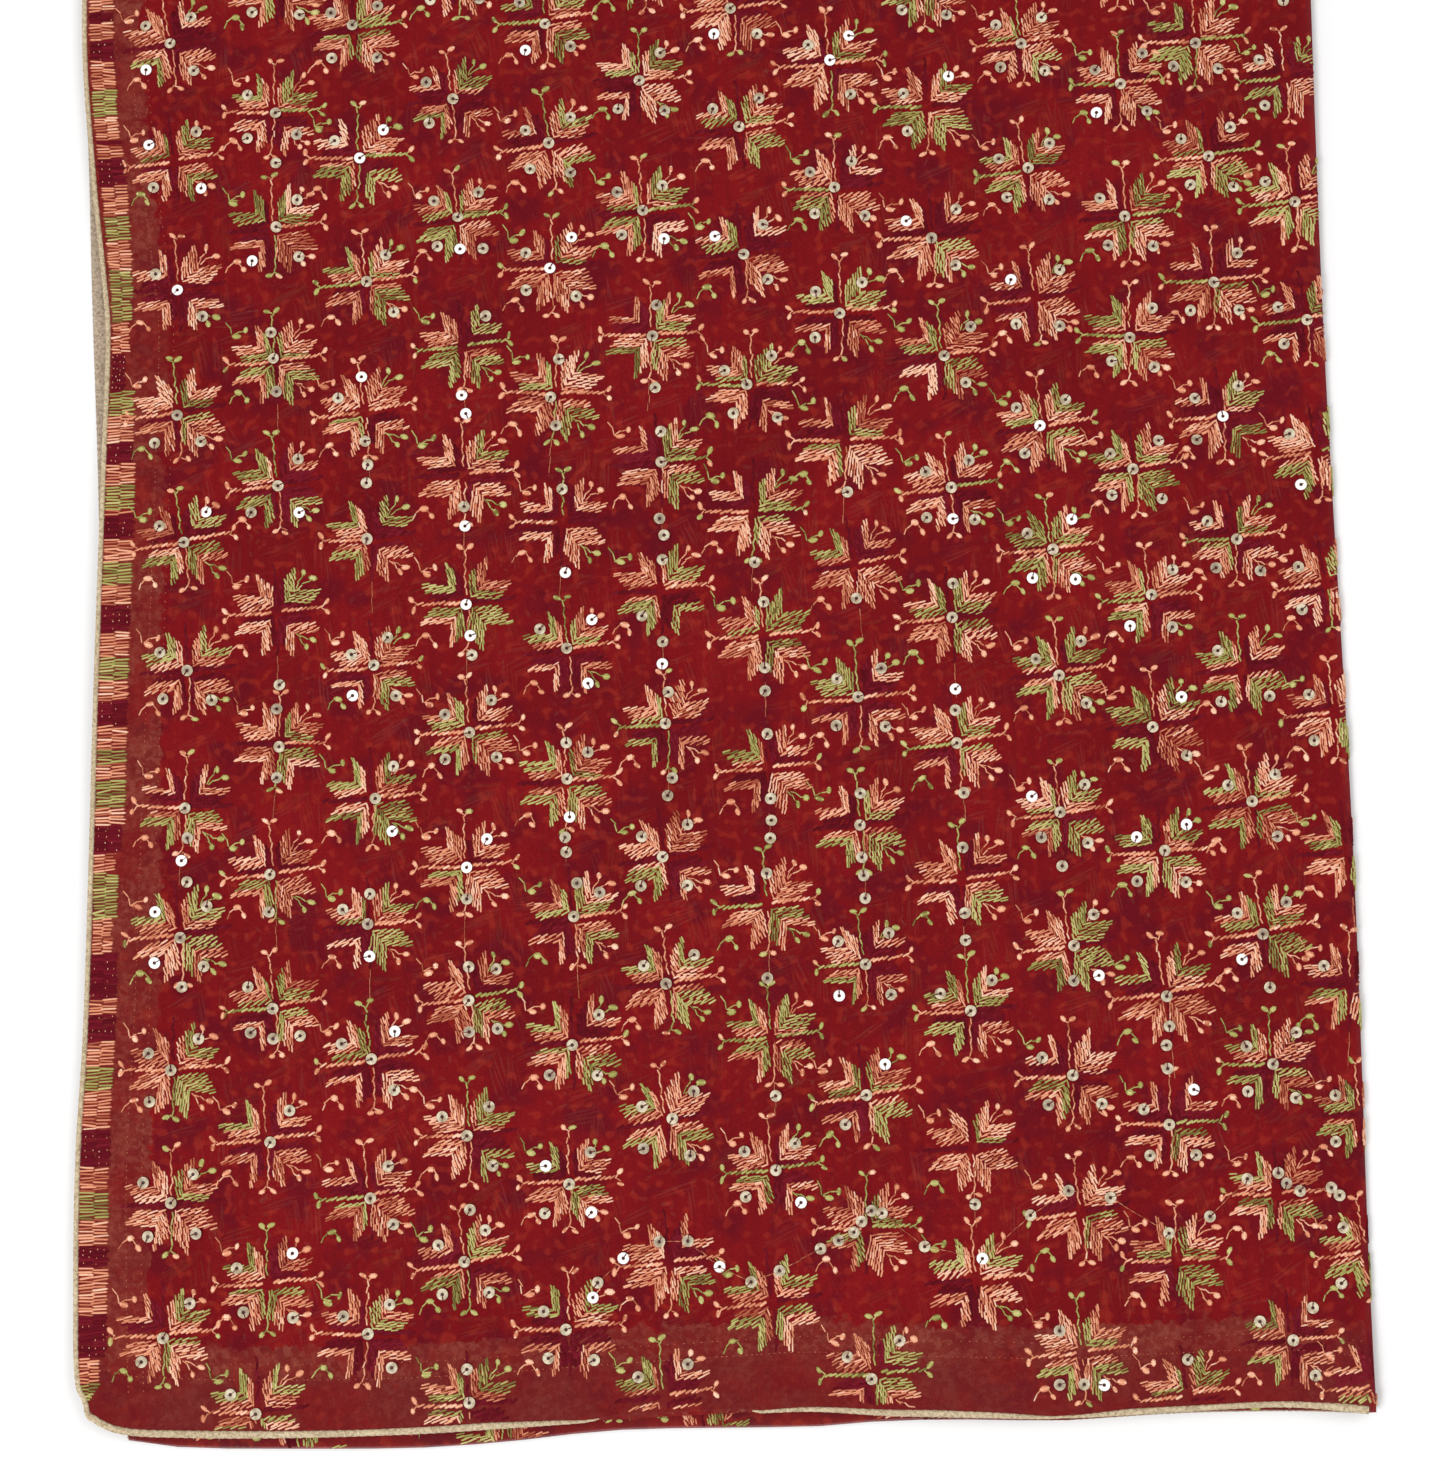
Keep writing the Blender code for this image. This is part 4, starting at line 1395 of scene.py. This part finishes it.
def border_blocks():
    """The charted blocks, then plain repeats of the same colours to the far hem."""
    blocks = list(BORDER_BLOCKS)
    along = BORDER_START
    index = 1
    while along < BORDER_END:
        kind = index % len(BORDER_REPEAT)
        blocks.append((along, BORDER_REPEAT[kind], BORDER_REPEAT_INSET, BORDER_REPEAT_WIDTH))
        along += BORDER_REPEAT_LENGTHS[kind]
        index += 1
    return blocks, min(along, BORDER_END)


def bar_row(wanted, block, along, column, random):
    """One level bar of a block, in the left or the right column."""
    maroon = block[BLOCK_THREAD] == MAROON_THREAD
    y = NEAR + (along + random.normal(0, 0.10)) * MM
    half = block[BLOCK_WIDTH] / 2
    start = block[BLOCK_INSET] + half * (column + 0.5) + random.normal(0, 0.25)
    x = upper_side(y) + start * MM
    tilt = random.normal(0.02, 0.07)
    size = half * random.uniform(1.10, 1.30) * MM
    width = (1.3 if maroon else 0.78) * random.uniform(0.80, 1.20) * MM
    tone = np.clip(random.normal(0.5, 0.22), 0, 1)
    wanted.add(x, y, size * math.cos(tilt), size * math.sin(tilt), width, block[BLOCK_THREAD], tone)


def block_dots(wanted, block, stop, random):
    """Small light stitches in columns over a maroon block."""
    for column in range(DOT_COLUMNS):
        across = block[BLOCK_INSET] + block[BLOCK_WIDTH] * (column + 0.6) / DOT_COLUMNS
        for along in np.arange(block[BLOCK_ALONG] + 1.4, stop - 0.8, DOT_PITCH):
            if random.random() < 0.55:
                y = NEAR + (along + random.normal(0, 0.3)) * MM
                x = upper_side(y) + (across + random.normal(0, 0.25)) * MM
                wanted.add(x, y, 0.1 * MM, 0.75 * MM, 0.42 * MM, PEACH_THREAD, random.uniform(0.2, 1.0))


def trim_at_corner(table):
    """Shortens the level bars at the cut corner's tape, and at the fold of its mitre."""
    y = table[:, STITCH_Y]
    start = table[:, STITCH_X] - table[:, STITCH_WAY_X] / 2
    end = table[:, STITCH_X] + table[:, STITCH_WAY_X] / 2
    start = start + np.maximum(0.0, CORNER_MARGIN - inside_corner(start, y)) / CORNER_INWARD_X
    mitre = LEFT + MITRE_START[0] + (y - NEAR - MITRE_START[1]) * MITRE_SLOPE
    end = np.minimum(end, mitre)
    trimmed = table.copy()
    trimmed[:, STITCH_X] = (start + end) / 2
    trimmed[:, STITCH_WAY_X] = end - start
    return trimmed[end - start > MM]


def make_border():
    """Two columns of level bars, laid like bricks, in blocks of colour."""
    random = np.random.default_rng(23)
    blocks, last = border_blocks()
    stops = [block[BLOCK_ALONG] for block in blocks[1:]] + [last]
    near = Stitches()
    distant = Stitches()
    dots = Stitches()
    for block, stop in zip(blocks, stops):
        wanted = near if block[BLOCK_ALONG] * MM < SHOWN_REACH else distant
        for column in range(2):
            for along in np.arange(block[BLOCK_ALONG] + BAR_PITCH * (0.25 + 0.5 * column), stop, BAR_PITCH):
                bar_row(wanted, block, along, column, random)
        if block[BLOCK_THREAD] == MAROON_THREAD:
            block_dots(dots, block, stop, random)
    trimmed = trim_at_corner(near.table())
    pieces = thread_pieces("border", trimmed, GRAIN, on_upper, STITCH_LIFT, 0.6 * MM)
    pieces += thread_pieces("border_far", distant.table(), SLIVER, on_upper, STITCH_LIFT, 0.45 * MM)
    pieces += thread_pieces("border_dots", dots.table(), SLIVER, on_upper, 0.45 * MM, 0.25 * MM)
    return pieces


# Machine stitching of the facings

def make_facing_seams():
    """Rows of short stitches through the facing, beside the open edge and over the hems."""
    random = np.random.default_rng(5)
    seams = Stitches()
    for inset, pitch in zip(SEAM_INSETS, SEAM_PITCHES):
        y = NEAR + np.arange(24, 2276, pitch) * MM
        y = y + random.normal(0, 0.3, len(y)) * MM
        x = upper_side(y) + (inset - 1.2 + 0.9 * np.sin(y / (70 * MM))) * MM
        way = upper_side(y + MM) - upper_side(y)
        tone = random.uniform(-0.1, 0.2, len(y))
        seams.add(x, y, 0.9 * way, 0.9 * MM, 0.45 * MM, PEACH_THREAD, tone)
        for edge, inward in ((upper_near, 1), (upper_far, -1)):
            x = LEFT + np.arange(14, 494, pitch) * MM
            x = x + random.normal(0, 0.3, len(x)) * MM
            y = edge(x) + inward * (inset + 0.8 * np.sin(x / (60 * MM))) * MM
            way = edge(x + MM) - edge(x)
            tone = random.uniform(-0.1, 0.2, len(x))
            seams.add(x, y, 0.9 * MM, 0.9 * way, 0.45 * MM, PEACH_THREAD, tone)
    return thread_pieces("facing_seams", seams.table(), SLIVER, on_upper, STITCH_LIFT, 0.3 * MM)


# Sequins

SEQUIN_RADIUS = 2.25 * MM
SEQUIN_HOLE = 0.60 * MM
SEQUIN_LIFT = 0.75 * MM
# Rings of a sequin from its rim to its hole: radius, height and how much lighter, and
# the corners of each ring, for the sequins that the camera sees and for the far ones
RING_RADIUS, RING_HEIGHT, RING_TONE = range(3)
FINE_RINGS = (
    (SEQUIN_RADIUS, 0.0, 0.10),
    (SEQUIN_RADIUS * 0.62, 0.12 * MM, 0.0),
    (SEQUIN_HOLE * 1.25, 0.05 * MM, -0.10),
    # The last two rings close the hole and are painted near black, as painted shade
    (SEQUIN_HOLE, 0.0, -2.4),
    (SEQUIN_HOLE * 0.1, 0.0, -2.4),
)
PLAIN_RINGS = (FINE_RINGS[0], FINE_RINGS[2])
FINE_CORNERS = 14
PLAIN_CORNERS = 7
# In chart steps from a flower's middle, with how often each is there, for flowers with
# sequins on their leaves and for those with sequins on an upright thread
SPOT_X, SPOT_Y, SPOT_CHANCE, SPOT_CHANCE_THREADED = range(4)
SEQUIN_SPOTS = (
    (-1, -1, 0.86, 0.60),
    (22, 28, 0.80, 0.10),
    (23, -32, 0.84, 0.10),
    (-24, -29, 0.80, 0.08),
    (-27, 17, 0.76, 0.08),
    (0, 32, 0.04, 0.60),
    (0, -33, 0.04, 0.50),
    (0, -55, 0.05, 0.65),
    (1, -74, 0.02, 0.40),
)
# Share of the sequins that are painted near white as glints
PAINTED_GLINT_SHARE = 0.09
# A string of sequins that hangs over the near flowers, in millimetres from the lower
# left corner. Flowers whose middle is this close to it have no sequins of their own
SEQUIN_STRING = (
    (202, 61), (212, 70), (226, 76), (237, 76), (249, 66), (261, 60), (272, 64),
    (288, 72), (295, 75), (301, 78), (304, 82), (308, 86), (312, 85), (328, 72),
    (350, 67), (369, 83), (384, 92), (400, 89), (422, 75), (438, 81), (453, 95),
    (465, 97), (468, 93), (473, 90), (485, 91), (488, 88),
)
STRING_CLEARS = 15 * MM


def ring_points(centers, tilts, steps, rings):
    """Flat rings round each centre, tilted by small amounts, from the rim to the hole."""
    turn = 2 * math.pi * np.arange(steps) / steps
    made = []
    for ring in rings:
        x = ring[RING_RADIUS] * np.cos(turn)[None, :]
        y = ring[RING_RADIUS] * np.sin(turn)[None, :]
        z = ring[RING_HEIGHT] + x * tilts[:, :1] + y * tilts[:, 1:]
        made.append(np.stack([x + centers[:, :1], y + centers[:, 1:2], z + centers[:, 2:]], axis=-1))
    return np.stack(made, axis=1)


def sequin_object(name, centers, tilts, tones, steps, rings):
    """Sequins with paler rims, with this many steps round each of their rings."""
    points = ring_points(centers, tilts, steps, rings)
    count = len(centers)
    one = grid_faces(len(rings), steps, closed=True)
    faces = (one[None] + (np.arange(count) * len(rings) * steps)[:, None, None]).reshape(-1, 4)
    made = mesh_object(name, points.reshape(-1, 3), faces, SEQUIN)
    lighter = np.repeat([ring[RING_TONE] for ring in rings], steps)
    point_values(made, "tone", tones[:, None] + lighter[None, :])
    return made


def sequin_threads(spots, random):
    """The dark thread that holds each sequin, from its hole to its rim."""
    threads = Stitches()
    turn = random.normal(0.9, 0.5, len(spots)) + math.pi * random.integers(0, 2, len(spots))
    reach = SEQUIN_RADIUS * 0.62
    size = SEQUIN_RADIUS * 1.25
    x = spots[:, 0] + reach * np.cos(turn)
    y = spots[:, 1] + reach * np.sin(turn)
    tone = random.uniform(0, 0.6, len(spots))
    threads.add(x, y, size * np.cos(turn), size * np.sin(turn), 0.55 * MM, MAROON_THREAD, tone)
    lift = SEQUIN_LIFT + 0.08 * MM
    return thread_pieces("sequin_threads", threads.table(), SLIVER, on_upper, lift, 0.4 * MM)


def string_thread(spots, random):
    """The thin thread between the sequins of the string, in short lengths that waver."""
    threads = Stitches()
    for start, end in zip(spots[:-1], spots[1:]):
        count = max(1, round(math.dist(start, end) / (3 * MM)))
        way = (end - start) / count
        for step in range(count):
            middle = start + way * (step + 0.5) + random.normal(0, 0.12 * MM, 2)
            threads.add(*middle, *(way * 1.15), 0.42 * MM, PEACH_THREAD, random.uniform(0.0, 0.4))
    lift = SEQUIN_LIFT - 0.25 * MM
    return thread_pieces("sequin_string", threads.table(), SLIVER, on_upper, lift, 0.2 * MM)


def make_sequins(places, threaded):
    random = np.random.default_rng(37)
    string = np.array(SEQUIN_STRING) * MM + (LEFT, NEAR)
    spots = list(string)
    for place, has_thread in zip(places, threaded):
        if np.linalg.norm(string - place, axis=1).min() < STRING_CLEARS:
            continue
        for spot in SEQUIN_SPOTS:
            if random.random() < spot[SPOT_CHANCE_THREADED if has_thread else SPOT_CHANCE]:
                shift = random.normal(0, 2.0, 2)
                x = place[0] + (spot[SPOT_X] + shift[0]) * CHART
                y = place[1] + (spot[SPOT_Y] + shift[1]) * CHART
                spots.append((x, y))
    spots = np.array(spots)
    x, y = spots[:, 0], spots[:, 1]
    margin = SEQUIN_RADIUS + MM
    inside = (x - margin > upper_side(y)) & (y - margin > upper_near(x)) & (y + margin < upper_far(x))
    inside &= x + margin < fold_center(y)[0]
    spots = spots[inside]
    tilts = random.normal(0, 0.09, (len(spots), 2))
    tones = random.uniform(0.2, 0.75, len(spots))
    # painted glints: these sequins get a tone that paints them near white
    tones[random.random(len(spots)) < PAINTED_GLINT_SHARE] = 1.4
    centers = on_upper(spots[:, 0], spots[:, 1], SEQUIN_LIFT)
    near = spots[:, 1] < NEAR + SHOWN_REACH
    far = ~near
    return [
        sequin_object("sequins", centers[near], tilts[near], tones[near], FINE_CORNERS, FINE_RINGS),
        sequin_object("sequins_far", centers[far], tilts[far], tones[far], PLAIN_CORNERS, PLAIN_RINGS),
        *sequin_threads(spots[near], random),
        *string_thread(string, random),
    ]


# Stage

def floor_material():
    nodes = Nodes("floor_pale")
    color = nodes.mix(nodes.noise(3, 2), (0.90, 0.90, 0.90), (0.92, 0.92, 0.92))
    return nodes.finish(color, 0.9, 0.1)


def make_floor():
    reach = 9.0
    z = -0.05 * MM
    points = np.array([(-reach, -reach, z), (reach, -reach, z), (reach, reach, z), (-reach, reach, z)])
    floor = mesh_object("floor", points, np.array([[0, 1, 2, 3]]), floor_material(), smooth=False)


def area_light(name, place, target, size, power):
    data = bpy.data.lights.new(name, "AREA")
    data.energy = power
    data.size = size
    light = bpy.data.objects.new(name, data)
    light.location = place
    way = np.array(target) - np.array(place)
    pitch = math.atan2(math.hypot(way[0], way[1]), -way[2])
    light.rotation_euler = Euler((pitch, 0, math.atan2(way[1], way[0]) - math.pi / 2))
    bpy.context.scene.collection.objects.link(light)


def make_lights():
    world = bpy.data.worlds.new("soft_room")
    world.use_nodes = True
    world.node_tree.nodes["Background"].inputs["Color"].default_value = (1.0, 1.0, 1.0, 1)
    world.node_tree.nodes["Background"].inputs["Strength"].default_value = 0.55
    bpy.context.scene.world = world
    area_light("key", (-1.4, -2.0, 2.6), (0, -0.6, 0), 1.2, 55)
    area_light("fill", (1.8, -0.2, 2.6), (0, -0.5, 0), 1.6, 26)


def make_camera():
    data = bpy.data.cameras.new("camera")
    data.lens = 70
    data.clip_start = 0.05
    data.clip_end = 50
    camera = bpy.data.objects.new("camera", data)
    camera.location = (0.01519, -1.01377, 1.12794)
    camera.rotation_euler = Euler([math.radians(turn) for turn in (6.7626, 0.6886, -1.2737)])
    bpy.context.scene.collection.objects.link(camera)
    bpy.context.scene.camera = camera


def make_shawl():
    cloth = make_cloth()
    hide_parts("cloth_folded")
    on_cloth = []
    for piece, node in (
        (make_facing_side(), "facing_side"),
        (make_facing_end("facing_near_strip", NEAR, upper_near, 1), "facing_near_end"),
        (make_facing_end("facing_far_strip", FAR, upper_far, -1), "facing_far_end"),
    ):
        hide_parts(node)
        on_cloth.append(piece)
    for piece, node in (
        (make_tape_upper(), "tape_upper"),
        (make_tape_lower_side(), "tape_lower_side"),
        (make_tape_lower_near_end(), "tape_lower_near_end"),
        (make_tape_lower_far_end(), "tape_lower_far_end"),
    ):
        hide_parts(node)
        on_cloth.append(piece)
    flowers, places, threaded = make_flowers()
    on_cloth += flowers
    on_cloth += make_border()
    on_cloth += make_facing_seams()
    on_cloth += make_sequins(places, threaded)
    for piece in [cloth] + on_cloth:
        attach(piece, "root")


make_floor()
make_lights()
make_camera()
make_shawl()
bpy.context.scene.view_settings.view_transform = "Standard"
bpy.context.scene.cycles.max_bounces = 4
bpy.context.scene.cycles.transparent_max_bounces = 4
